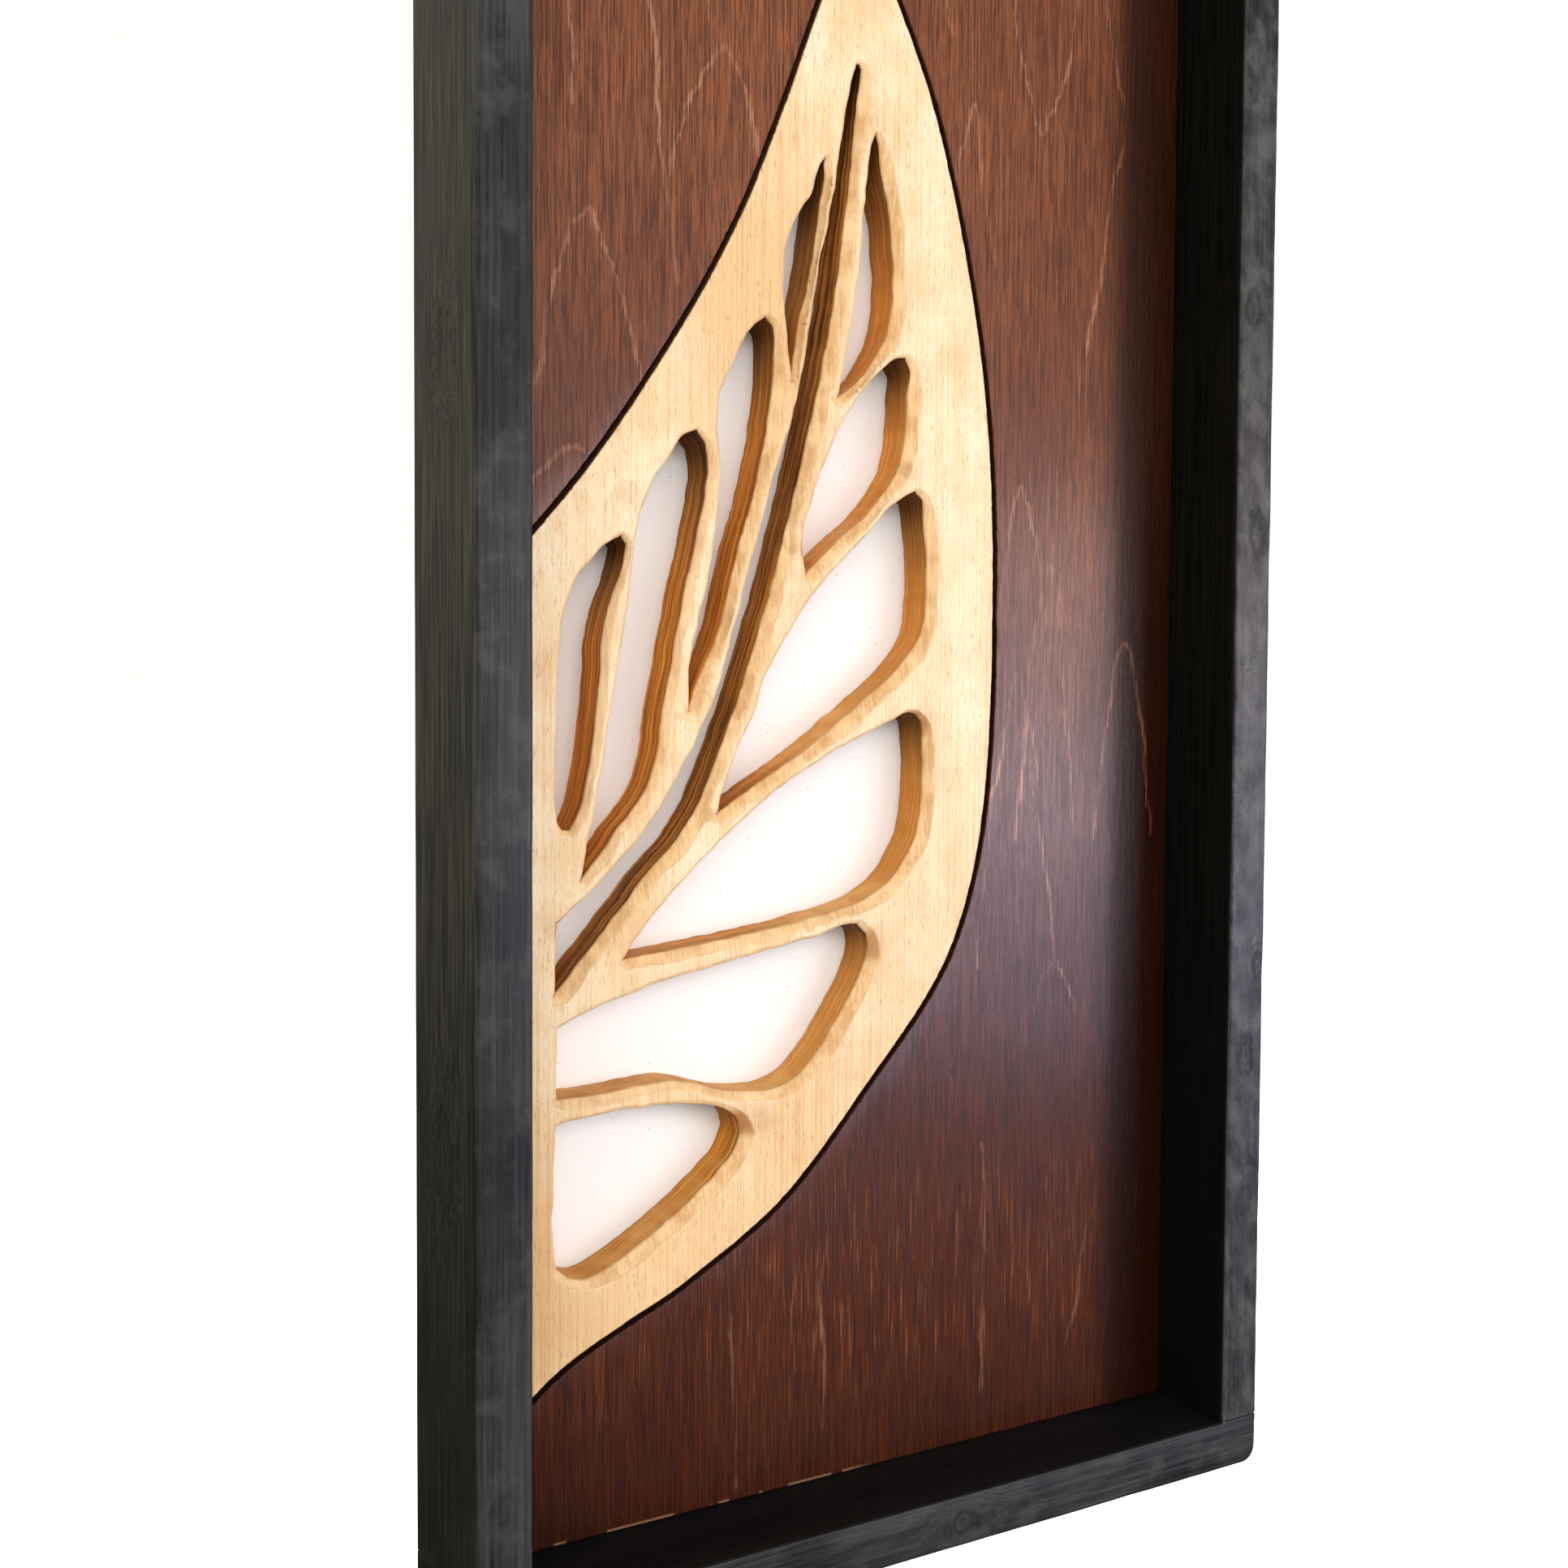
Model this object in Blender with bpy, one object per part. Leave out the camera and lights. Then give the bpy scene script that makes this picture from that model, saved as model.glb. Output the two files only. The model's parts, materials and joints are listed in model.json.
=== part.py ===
"""Framed wall panel with a pierced, hand-carved half wing let into it.

Metres, +Z up. The front faces -Y and the back lies in the plane Y = 0, so the origin is the centre of the back.
Four black softwood strips make a deep frame. The two rails run the full width and the stiles stand between them.
A stained plywood panel and the natural wing in its cut-out lie on one thin white backboard, recessed in the frame.
"""

import math

import bmesh
import bpy
from mathutils import Vector
from mathutils.geometry import interpolate_bezier

MM = 0.001
GAP = 0.3 * MM

# Frame
FRAME_W = 340 * MM
FRAME_H = 680 * MM
FRAME_D = 60 * MM
STRIP = 20 * MM
ARRIS = 2 * MM
CORNER_R = 7 * MM
ARC_STEPS = 5
ARRIS_STEPS = 2
TOUCH = 0.1 * MM
SMOOTH_LIMIT = math.radians(40)

# Boards, from the back forwards
BACKBOARD = 4.5 * MM
PLY = 18 * MM
KERF = 1.8 * MM
PANEL_BACK = -(BACKBOARD + GAP)
PANEL_FRONT = PANEL_BACK - PLY
INNER_W = FRAME_W - 2 * STRIP
INNER_H = FRAME_H - 2 * STRIP

# Outlines, in millimetres from the inner lower left corner of the frame: across, then up.
# A curve passes through the points, and breaks its direction at those marked as corners.
CORNER = "corner"
SPAN_STEP = 7.0
SHARPEST_MITRE = 0.3

WING_OUTLINE = [
    (0.3, 41, CORNER),
    (14, 54),
    (28, 64),
    (50, 74.5),
    (71, 84),
    (113, 110),
    (149, 148),
    (183, 189),
    (198, 225),
    (205, 268),
    (207, 326),
    (205, 390),
    (197, 446),
    (179, 514),
    (160, 556),
    (141, 588, CORNER),
    (124, 544),
    (110, 507),
    (94, 469),
    (72, 429),
    (37, 377),
    (0.3, 333, CORNER),
]

WING_OPENINGS = {
    "midrib": [
        (145, 529),
        (141.5, 530),
        (138, 516),
        (133, 482),
        (128, 461),
        (118, 408),
        (105, 366),
        (93, 325),
        (83, 293),
        (61, 254),
        (41, 232),
        (23.5, 217, CORNER),
        (22.5, 192, CORNER),
        (38, 210),
        (57, 232),
        (75, 252),
        (87, 278),
        (99, 309),
        (111, 348),
        (127, 409),
        (134, 444),
        (139, 481),
        (143, 512),
    ],
    "right_1": [
        (151, 507),
        (147, 494),
        (146, 480),
        (144, 454),
        (138, 422),
        (135, 407, CORNER),
        (144, 414),
        (156, 430),
        (160, 449),
        (159, 471),
        (155, 494),
    ],
    "right_2": [
        (165, 425),
        (167, 412),
        (165, 390),
        (159, 377),
        (149, 365),
        (132, 351),
        (122, 341, CORNER),
        (120, 352),
        (124, 368),
        (133, 390),
        (145, 409),
    ],
    "right_3": [
        (170, 375),
        (175, 364),
        (176, 326),
        (168, 312),
        (152, 298),
        (136, 286),
        (116, 272),
        (96, 260),
        (85, 253, CORNER),
        (90, 268),
        (99, 288),
        (107, 307),
        (122, 330),
        (142, 351),
    ],
    "right_4": [
        (167, 290),
        (174, 287),
        (175, 256),
        (169, 236),
        (153, 221),
        (123, 213),
        (90, 208),
        (48, 203, CORNER),
        (57, 215),
        (72, 230),
        (92, 248),
        (117, 266),
    ],
    "right_5": [
        (23.3, 181, CORNER),
        (48, 190),
        (92, 200),
        (127, 206),
        (145, 210),
        (151, 200),
        (137, 174),
        (123, 157),
        (110, 151),
        (93, 152),
        (68, 158),
        (46, 157),
        (23.3, 156, CORNER),
    ],
    "right_6": [
        (22.8, 147, CORNER),
        (48, 150),
        (74, 149),
        (90, 145),
        (96, 136),
        (88, 124),
        (70, 110),
        (51, 98),
        (34, 92),
        (23.5, 97),
    ],
    "left_1": [
        (129, 494),
        (122, 480),
        (113, 461),
        (112, 438),
        (114, 420),
        (115.5, 411, CORNER),
        (118, 429),
        (123, 450),
        (127, 472),
    ],
    "left_2": [
        (104, 433),
        (108, 422),
        (106, 396),
        (100, 369),
        (92, 342),
        (85, 317),
        (78, 302),
        (73.5, 290, CORNER),
        (74, 306),
        (80, 333),
        (85, 360),
        (86, 380),
        (85, 400),
        (90, 413),
    ],
    "left_3": [
        (76, 390),
        (81, 378),
        (77, 354),
        (71, 329),
        (65, 299),
        (58, 265),
        (46, 249),
        (32, 231, CORNER),
        (37, 254),
        (41, 275),
        (45, 299),
        (50, 328),
        (55, 361),
        (66, 380),
    ],
    "left_4": [
        (47, 351),
        (48, 342),
        (41, 322),
        (38, 290),
        (34, 264),
        (28, 249),
        (23.5, 252),
        (23, 285),
        (25, 318),
        (30, 334),
    ],
}

# Fasteners: head radius, head height, shank radius, length under the head
CORNER_SCREW = (4.0 * MM, 3.0 * MM, 2.0 * MM, 47.0 * MM)
BOARD_SCREW = (3.2 * MM, 2.2 * MM, 1.5 * MM, 12.0 * MM)
HANGER_SCREW = (3.0 * MM, 1.6 * MM, 1.5 * MM, 14.0 * MM)
BRAD_R = 0.8 * MM
BRAD_LENGTH = 38 * MM
BRAD_SINK = 1.5 * MM
ROUND_STEPS = 12
CORNER_SCREW_INSET = 15 * MM
TIP_RADII = 2.5
OVERCUT = 4 * GAP
PAN_DOME = [(0, 1), (0.6, 0.85), (1, 0.3), (1, 0)]

PANEL_SCREWS = [(12, 12), (150, 12), (288, 12), (288, 345), (288, 628), (150, 628), (12, 628), (12, 470)]
WING_SCREWS = [(12, 90), (12, 300), (115, 132), (192, 300), (178, 465), (143, 556)]
BRADS = {"left": (190, 430, 600), "right": (60, 320, 580)}

# Hangers, one on the back of each stile
HANGER_Z = 190 * MM
STRAP_W = 10 * MM
STRAP_T = 1.2 * MM
STRAP_LENGTH = 38 * MM
RING_WIRE_R = 1.25 * MM
RING_HALF_W = 7 * MM
RING_SIDE = 5 * MM
RING_BEND = 1.6 * MM
BEND_STEPS = 2
LOOP_STEPS = 8
WIRE_SIDES = 8
KNUCKLE_R = RING_WIRE_R + GAP
CURL_START = math.radians(-100)
CURL_END = math.radians(180)
CURL_STEPS = 10
HANGER_SCREW_DROPS = (17 * MM, 30 * MM)

# Bumpers, one near the foot of each stile
BUMPER_R = 5 * MM
BUMPER_T = 3 * MM
BUMPER_DOME = [(0, 0), (1, 0), (1, 0.45), (0.85, 0.85), (0.5, 1), (0, 1)]
BUMPER_Z = -FRAME_H / 2 + 35 * MM


def clear_scene():
    for obj in list(bpy.data.objects):
        bpy.data.objects.remove(obj)


def material(name, color, roughness, metallic=0.0):
    mat = bpy.data.materials.new(name)
    mat.use_nodes = True
    shader = mat.node_tree.nodes["Principled BSDF"]
    shader.inputs["Base Color"].default_value = (*color, 1.0)
    shader.inputs["Roughness"].default_value = roughness
    shader.inputs["Metallic"].default_value = metallic
    return mat


def add_object(name, bm, mat=None, smooth=False):
    """Turns a bmesh into an object. Round pieces are shaded smooth, apart from their sharp edges."""
    bmesh.ops.recalc_face_normals(bm, faces=bm.faces)
    mesh = bpy.data.meshes.new(name)
    bm.to_mesh(mesh)
    bm.free()
    if smooth:
        mesh.shade_smooth()
        mesh.set_sharp_from_angle(angle=SMOOTH_LIMIT)
    obj = bpy.data.objects.new(name, mesh)
    bpy.context.scene.collection.objects.link(obj)
    if mat:
        mesh.materials.append(mat)
    return obj


# ---- Outlines ----


def curve_loop(points):
    """A closed loop of points, in millimetres, along Bezier spans through the given ones."""
    count = len(points)
    spots = [Vector((p[0], p[1], 0)) for p in points]
    sharp = [len(p) == 3 for p in points]
    loop = []
    for i in range(count):
        here, ahead = spots[i], spots[(i + 1) % count]
        before, beyond = spots[i - 1], spots[(i + 2) % count]
        length = (ahead - here).length
        leave = (ahead - before).normalized() * length / 3
        arrive = (beyond - here).normalized() * length / 3
        if sharp[i]:
            leave = (ahead - here) / 3
        if sharp[(i + 1) % count]:
            arrive = (ahead - here) / 3
        steps = max(2, round(length / SPAN_STEP))
        loop += interpolate_bezier(here, here + leave, ahead - arrive, ahead, steps + 1)[:-1]
    return [(p.x, p.y) for p in loop]


def grown(loop, distance):
    """The loop, which runs anticlockwise, with each point moved out along its own normal."""
    result = []
    for i, (x, y) in enumerate(loop):
        before, ahead = Vector(loop[i - 1]), Vector(loop[(i + 1) % len(loop)])
        spot = Vector((x, y))
        side_a = (spot - before).normalized()
        side_b = (ahead - spot).normalized()
        normal = Vector((side_a.y + side_b.y, -side_a.x - side_b.x)).normalized()
        stretch = 1 / max(SHARPEST_MITRE, normal.dot(Vector((side_a.y, -side_a.x))))
        result.append(tuple(spot + normal * distance * stretch))
    return result


def to_world(loop):
    """Millimetres from the inner lower left corner become world X and Z."""
    return [(u * MM - INNER_W / 2, v * MM - INNER_H / 2) for u, v in loop]


def add_prism(bm, loop, y_low, y_high):
    """A straight solid over a loop of world (x, z) points, from y_low to y_high."""
    face = bm.faces.new([bm.verts.new((x, y_low, z)) for x, z in loop])
    grown_faces = bmesh.ops.extrude_face_region(bm, geom=[face])["geom"]
    moved = [v for v in grown_faces if isinstance(v, bmesh.types.BMVert)]
    bmesh.ops.translate(bm, verts=moved, vec=(0, y_high - y_low, 0))


def rectangle(x_low, x_high, z_low, z_high):
    return [(x_low, z_low), (x_high, z_low), (x_high, z_high), (x_low, z_high)]


# ---- Cuts and fasteners ----


def cut(target, bm, name):
    """Takes the solids in bm away from the target with an exact Boolean."""
    cutter = add_object(name, bm)
    cutter.hide_render = True
    cutter.display_type = "WIRE"
    modifier = target.modifiers.new(name, "BOOLEAN")
    modifier.operation = "DIFFERENCE"
    modifier.solver = "EXACT"
    modifier.object = cutter


def add_turned(bm, profile, start, direction):
    """A solid turned from (radius, distance) points about the line from start along direction."""
    axis = Vector(direction).normalized()
    side = axis.orthogonal().normalized()
    rings = []
    for radius, distance in profile:
        centre = Vector(start) + axis * distance
        if radius == 0:
            rings.append([bm.verts.new(centre)])
            continue
        other = axis.cross(side)
        ring = []
        for k in range(ROUND_STEPS):
            angle = 2 * math.pi * k / ROUND_STEPS
            ring.append(bm.verts.new(centre + radius * (side * math.cos(angle) + other * math.sin(angle))))
        rings.append(ring)
    for lower, upper in zip(rings, rings[1:]):
        for k in range(ROUND_STEPS):
            corners = [lower[k % len(lower)], lower[(k + 1) % len(lower)]]
            corners += [upper[(k + 1) % len(upper)], upper[k % len(upper)]]
            unique = list(dict.fromkeys(corners))
            bm.faces.new(unique)


def countersunk_profile(size, grow=0.0):
    """Radius and distance from the flat top of the head, inwards. A grown one is the hole."""
    head_r, head_h, shank_r, length = size
    tip = TIP_RADII * shank_r
    top = -OVERCUT if grow else 0.0
    return [
        (0, top),
        (head_r + grow, top),
        (head_r + grow, grow),
        (shank_r + grow, head_h + grow),
        (shank_r + grow, head_h + length - tip + grow),
        (0, head_h + length + 2 * grow),
    ]


def pan_profile(size, seat, grow=0.0):
    """A domed head that stands on its seat, and its shank. A grown one is the hole, with no head."""
    head_r, head_h, shank_r, length = size
    tip = TIP_RADII * shank_r
    shank = [(shank_r + grow, length - tip + seat), (0, length + seat + 2 * grow)]
    if grow:
        return [(0, -seat), (shank_r + grow, -seat)] + shank
    dome = [(head_r * out, -head_h * up) for out, up in PAN_DOME]
    return dome + [(shank_r, 0)] + shank


class Fasteners:
    """Collects the holes of each board while the fasteners are made, and cuts them at the end."""

    def __init__(self):
        self.holes = {}

    def bore(self, target, profile, start, direction):
        bm = self.holes.setdefault(target, bmesh.new())
        add_turned(bm, profile, start, direction)

    def finish(self):
        for target, bm in self.holes.items():
            cut(target, bm, target.name + "_holes")


def add_turned_object(name, profile, start, direction, mat):
    bm = bmesh.new()
    add_turned(bm, profile, start, direction)
    return add_object(name, bm, mat, smooth=True)


# ---- Frame ----


def strip_section():
    """The rounded section of a stile, as (x, y) points about its centre line, anticlockwise."""
    half_w = STRIP / 2 - ARRIS
    half_d = FRAME_D / 2 - ARRIS
    section = []
    for quarter, (sx, sy) in enumerate([(1, 1), (-1, 1), (-1, -1), (1, -1)]):
        for k in range(ARRIS_STEPS + 1):
            angle = math.pi / 2 * (quarter + k / ARRIS_STEPS)
            x = sx * half_w + ARRIS * math.cos(angle)
            y = sy * half_d + ARRIS * math.sin(angle)
            section.append((x, y))
    return section


def stile(side_name, side, mat):
    bm = bmesh.new()
    x = side * (FRAME_W - STRIP) / 2
    z_low = -INNER_H / 2 + GAP
    z_high = INNER_H / 2 - GAP
    verts = [bm.verts.new((x + sx, sy - FRAME_D / 2, z_low)) for sx, sy in strip_section()]
    face = bm.faces.new(verts)
    made = bmesh.ops.extrude_face_region(bm, geom=[face])["geom"]
    moved = [v for v in made if isinstance(v, bmesh.types.BMVert)]
    bmesh.ops.translate(bm, verts=moved, vec=(0, 0, z_high - z_low))
    return add_object(side_name + "_stile", bm, mat, smooth=True)


def rail(name, side, mat):
    """A rail of the full width. side is -1 at the foot and 1 at the top. Its two outer corners are round."""
    outer = FRAME_H / 2
    inner = INNER_H / 2
    centre_x = FRAME_W / 2 - CORNER_R
    centre_z = outer - CORNER_R
    outline = [(FRAME_W / 2, side * inner)]
    for sx in (1, -1):
        for k in range(ARC_STEPS + 1):
            angle = math.pi / 2 * k / ARC_STEPS
            if sx < 0:
                angle = math.pi / 2 - angle
            x = sx * (centre_x + CORNER_R * math.cos(angle))
            z = side * (centre_z + CORNER_R * math.sin(angle))
            outline.append((x, z))
    outline.append((-FRAME_W / 2, side * inner))
    bm = bmesh.new()
    add_prism(bm, outline, -FRAME_D, 0)
    outer_edges = []
    for edge in bm.edges:
        a, b = edge.verts[0].co, edge.verts[1].co
        on_face = abs(a.y - b.y) < TOUCH
        on_joint = abs(a.z - side * inner) < TOUCH and abs(b.z - side * inner) < TOUCH
        if on_face and not on_joint:
            outer_edges.append(edge)
    bmesh.ops.bevel(bm, geom=outer_edges, offset=ARRIS, segments=ARRIS_STEPS, profile=0.5, affect="EDGES")
    return add_object(name, bm, mat, smooth=True)


# ---- Boards ----


def stained_panel(wing_loop, mat):
    """The sheet around the wing. Its cut-out is open to the left stile."""
    half_w = INNER_W / 2 - GAP
    half_h = INNER_H / 2 - GAP
    bm = bmesh.new()
    add_prism(bm, rectangle(-half_w, half_w, -half_h, half_h), PANEL_FRONT, PANEL_BACK)
    panel = add_object("stained_panel", bm, mat)
    bm = bmesh.new()
    add_prism(bm, to_world(grown(wing_loop, KERF / MM)), PANEL_FRONT - PLY, PANEL_BACK + PLY)
    cut(panel, bm, "wing_cut_out")
    return panel


def wing_fretwork(wing_loop, mat):
    bm = bmesh.new()
    add_prism(bm, to_world(wing_loop), PANEL_FRONT, PANEL_BACK)
    wing = add_object("wing_fretwork", bm, mat)
    bm = bmesh.new()
    for points in WING_OPENINGS.values():
        add_prism(bm, to_world(curve_loop(points)), PANEL_FRONT - PLY, PANEL_BACK + PLY)
    cut(wing, bm, "wing_openings")
    return wing


def backboard(mat):
    half_w = INNER_W / 2 - GAP
    half_h = INNER_H / 2 - GAP
    bm = bmesh.new()
    add_prism(bm, rectangle(-half_w, half_w, -half_h, half_h), -BACKBOARD, 0)
    return add_object("backboard", bm, mat)


# ---- Fixings ----


def corner_screws(fasteners, rails, stiles, mat):
    """Two screws at each corner, through the rail into the end of the stile."""
    depths = {"front": -FRAME_D + CORNER_SCREW_INSET, "back": -CORNER_SCREW_INSET}
    for rail_name, (rail_obj, level) in rails.items():
        for side_name, (stile_obj, side) in stiles.items():
            for depth_name, y in depths.items():
                start = (side * (FRAME_W - STRIP) / 2, y, level * FRAME_H / 2)
                direction = (0, 0, -level)
                name = f"corner_screw_{rail_name}_{side_name}_{depth_name}"
                add_turned_object(name, countersunk_profile(CORNER_SCREW), start, direction, mat)
                hole = countersunk_profile(CORNER_SCREW, GAP)
                fasteners.bore(rail_obj, hole, start, direction)
                fasteners.bore(stile_obj, hole, start, direction)


def board_screws(fasteners, spots, prefix, board, back, mat):
    """Countersunk screws from behind, through the backboard into the board in front of it."""
    for index, (x, z) in enumerate(to_world(spots), start=1):
        start = (x, 0, z)
        direction = (0, -1, 0)
        add_turned_object(f"{prefix}_{index}", countersunk_profile(BOARD_SCREW), start, direction, mat)
        hole = countersunk_profile(BOARD_SCREW, GAP)
        fasteners.bore(back, hole, start, direction)
        fasteners.bore(board, hole, start, direction)


def brads(fasteners, stiles, panel, wing, mat):
    """Headless nails through the stiles into the edges of the panel, and of the wing where it meets the stile."""
    y = (PANEL_FRONT + PANEL_BACK) / 2
    profile = [(0, 0), (BRAD_R, 0), (BRAD_R, BRAD_LENGTH), (0, BRAD_LENGTH)]
    hole = [(0, -GAP), (BRAD_R + GAP, -GAP), (BRAD_R + GAP, BRAD_LENGTH + GAP), (0, BRAD_LENGTH + GAP)]
    for side_name, (stile_obj, side) in stiles.items():
        for index, up in enumerate(BRADS[side_name], start=1):
            start = (side * (FRAME_W / 2 - BRAD_SINK), y, up * MM - INNER_H / 2)
            direction = (-side, 0, 0)
            add_turned_object(f"stile_brad_{side_name}_{index}", profile, start, direction, mat)
            in_wing = side < 0 and up < WING_OUTLINE[-1][1]
            fasteners.bore(stile_obj, hole, start, direction)
            fasteners.bore(wing if in_wing else panel, hole, start, direction)


# ---- Hangers and bumpers ----


def strap_outline():
    """The strap's side view as (y, z) points about the ring's axis: a flat strap with a knuckle curled at its top."""
    inner = KNUCKLE_R
    outer = KNUCKLE_R + STRAP_T
    angles = [CURL_START + (CURL_END - CURL_START) * k / CURL_STEPS for k in range(CURL_STEPS + 1)]
    outside = [(outer * math.cos(a), outer * math.sin(a)) for a in angles]
    inside = [(inner * math.cos(a), inner * math.sin(a)) for a in reversed(angles)]
    tail = [(-outer, -STRAP_LENGTH), (-inner, -STRAP_LENGTH)]
    return outside + tail + inside


def hanger(side_name, side, stile_obj, fasteners, steel):
    """A strap with its ring and two screws."""
    x = side * (FRAME_W - STRIP) / 2
    axis = Vector((x, GAP + KNUCKLE_R + STRAP_T, HANGER_Z))
    bm = bmesh.new()
    verts = [bm.verts.new((x - STRAP_W / 2, axis.y + y, axis.z + z)) for y, z in strap_outline()]
    face = bm.faces.new(verts)
    made = bmesh.ops.extrude_face_region(bm, geom=[face])["geom"]
    moved = [v for v in made if isinstance(v, bmesh.types.BMVert)]
    bmesh.ops.translate(bm, verts=moved, vec=(STRAP_W, 0, 0))
    plate = add_object(f"hanger_plate_{side_name}", bm, steel, smooth=True)

    for index, drop in enumerate(HANGER_SCREW_DROPS, start=1):
        seat = GAP + STRAP_T + GAP
        start = (x, seat, HANGER_Z - drop)
        direction = (0, -1, 0)
        name = f"hanger_screw_{side_name}_{index}"
        add_turned_object(name, pan_profile(HANGER_SCREW, 0), start, direction, steel)
        hole = pan_profile(HANGER_SCREW, 2 * GAP, GAP)
        fasteners.bore(plate, hole, start, direction)
        fasteners.bore(stile_obj, hole, start, direction)

    ring(f"hanger_ring_{side_name}", axis, steel)


def ring_path():
    """The centre line of a D ring that hangs from its straight bar, as (x, z) points about the bar's middle."""
    corner = []
    for k in range(BEND_STEPS + 1):
        angle = math.pi / 2 * k / BEND_STEPS
        x = RING_HALF_W - RING_BEND + RING_BEND * math.sin(angle)
        corner.append((x, -RING_BEND + RING_BEND * math.cos(angle)))
    loop = []
    for k in range(LOOP_STEPS + 1):
        angle = math.pi * k / LOOP_STEPS
        loop.append((RING_HALF_W * math.cos(angle), -RING_SIDE - RING_HALF_W * math.sin(angle)))
    other_corner = [(-x, z) for x, z in reversed(corner)]
    return corner + loop + other_corner


def ring(name, axis, mat):
    """Wire swept round the closed path. The object's origin is on the axis that it swings about."""
    path = [Vector((x, 0, z)) for x, z in ring_path()]
    depth = Vector((0, 1, 0))
    turns = [2 * math.pi * (k + 0.5) / WIRE_SIDES for k in range(WIRE_SIDES)]
    bm = bmesh.new()
    rings = []
    for i, spot in enumerate(path):
        ahead = path[(i + 1) % len(path)] - spot
        behind = spot - path[i - 1]
        along = (ahead.normalized() + behind.normalized()).normalized()
        across = along.cross(depth)
        spots = [spot + RING_WIRE_R * (across * math.cos(a) + depth * math.sin(a)) for a in turns]
        rings.append([bm.verts.new(point) for point in spots])
    for i, here in enumerate(rings):
        ahead = rings[(i + 1) % len(rings)]
        for k in range(WIRE_SIDES):
            following = (k + 1) % WIRE_SIDES
            bm.faces.new([here[k], here[following], ahead[following], ahead[k]])
    obj = add_object(name, bm, mat, smooth=True)
    obj.location = axis
    return obj


def bumper(side_name, side, mat):
    """A domed rubber disc stuck to the back."""
    profile = [(BUMPER_R * out, BUMPER_T * up) for out, up in BUMPER_DOME]
    start = (side * (FRAME_W - STRIP) / 2, GAP, BUMPER_Z)
    return add_turned_object(f"bumper_{side_name}", profile, start, (0, 1, 0), mat)


def main():
    clear_scene()
    black_wood = material("black_wood", (0.022, 0.023, 0.026), 0.6)
    stained_wood = material("stained_wood", (0.09, 0.022, 0.012), 0.3)
    natural_wood = material("natural_wood", (0.68, 0.42, 0.19), 0.6)
    white_paint = material("white_paint", (0.85, 0.83, 0.8), 0.6)
    zinc_steel = material("zinc_steel", (0.6, 0.6, 0.58), 0.35, 1.0)
    black_rubber = material("black_rubber", (0.02, 0.02, 0.02), 0.8)

    stiles = {"left": (stile("left", -1, black_wood), -1), "right": (stile("right", 1, black_wood), 1)}
    rails = {"bottom": (rail("bottom_rail", -1, black_wood), -1), "top": (rail("top_rail", 1, black_wood), 1)}
    wing_loop = curve_loop(WING_OUTLINE)
    panel = stained_panel(wing_loop, stained_wood)
    wing = wing_fretwork(wing_loop, natural_wood)
    back = backboard(white_paint)

    fasteners = Fasteners()
    corner_screws(fasteners, rails, stiles, zinc_steel)
    board_screws(fasteners, PANEL_SCREWS, "panel_screw", panel, back, zinc_steel)
    board_screws(fasteners, WING_SCREWS, "wing_screw", wing, back, zinc_steel)
    brads(fasteners, stiles, panel, wing, zinc_steel)
    for side_name, (stile_obj, side) in stiles.items():
        hanger(side_name, side, stile_obj, fasteners, zinc_steel)
        bumper(side_name, side, black_rubber)
    fasteners.finish()


main()
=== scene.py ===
"""The looks of the framed wing panel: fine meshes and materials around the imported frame.

The row frame is in metres, +Z up. The front faces -Y, and the back lies in the plane Y = 0.
Board outlines are handled in millimetres, as (x, z) points, and turned into metres when a mesh is made.
"""

import json
import math

import bmesh
import bpy
import numpy as np
from mathutils import Matrix, Vector, kdtree, noise
from mathutils.geometry import delaunay_2d_cdt


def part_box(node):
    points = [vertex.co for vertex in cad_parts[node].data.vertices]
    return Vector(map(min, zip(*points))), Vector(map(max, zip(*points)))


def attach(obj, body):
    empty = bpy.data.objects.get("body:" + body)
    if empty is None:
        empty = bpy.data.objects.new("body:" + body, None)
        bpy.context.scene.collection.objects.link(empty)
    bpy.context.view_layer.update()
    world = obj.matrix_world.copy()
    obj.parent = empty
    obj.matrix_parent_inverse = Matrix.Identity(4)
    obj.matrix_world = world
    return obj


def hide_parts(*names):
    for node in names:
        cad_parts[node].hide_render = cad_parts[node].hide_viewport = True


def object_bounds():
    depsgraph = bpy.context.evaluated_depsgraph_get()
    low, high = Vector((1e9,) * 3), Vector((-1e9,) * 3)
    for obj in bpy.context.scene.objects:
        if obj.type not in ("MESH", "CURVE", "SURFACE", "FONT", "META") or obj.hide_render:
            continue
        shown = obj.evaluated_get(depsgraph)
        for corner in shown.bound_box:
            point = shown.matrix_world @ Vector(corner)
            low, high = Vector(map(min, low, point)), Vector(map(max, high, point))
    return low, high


MM = 0.001
# An outline that turns by more than this has a sharp corner there.
SHARP_TURN = math.radians(32)

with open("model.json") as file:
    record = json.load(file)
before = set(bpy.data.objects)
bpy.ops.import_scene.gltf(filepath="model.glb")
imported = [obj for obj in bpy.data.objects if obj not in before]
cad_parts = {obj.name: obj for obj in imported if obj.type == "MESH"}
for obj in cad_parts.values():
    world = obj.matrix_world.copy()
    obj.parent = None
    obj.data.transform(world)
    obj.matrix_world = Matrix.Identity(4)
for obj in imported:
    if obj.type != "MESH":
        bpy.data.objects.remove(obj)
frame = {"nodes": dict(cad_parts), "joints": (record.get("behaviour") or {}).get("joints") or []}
cad_low, cad_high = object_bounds()
NODES = frame["nodes"]


def box_mm(node):
    low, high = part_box(node)
    return low / MM, high / MM


def new_object(name, data):
    obj = bpy.data.objects.new(name, data)
    bpy.context.scene.collection.objects.link(obj)
    return obj


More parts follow.
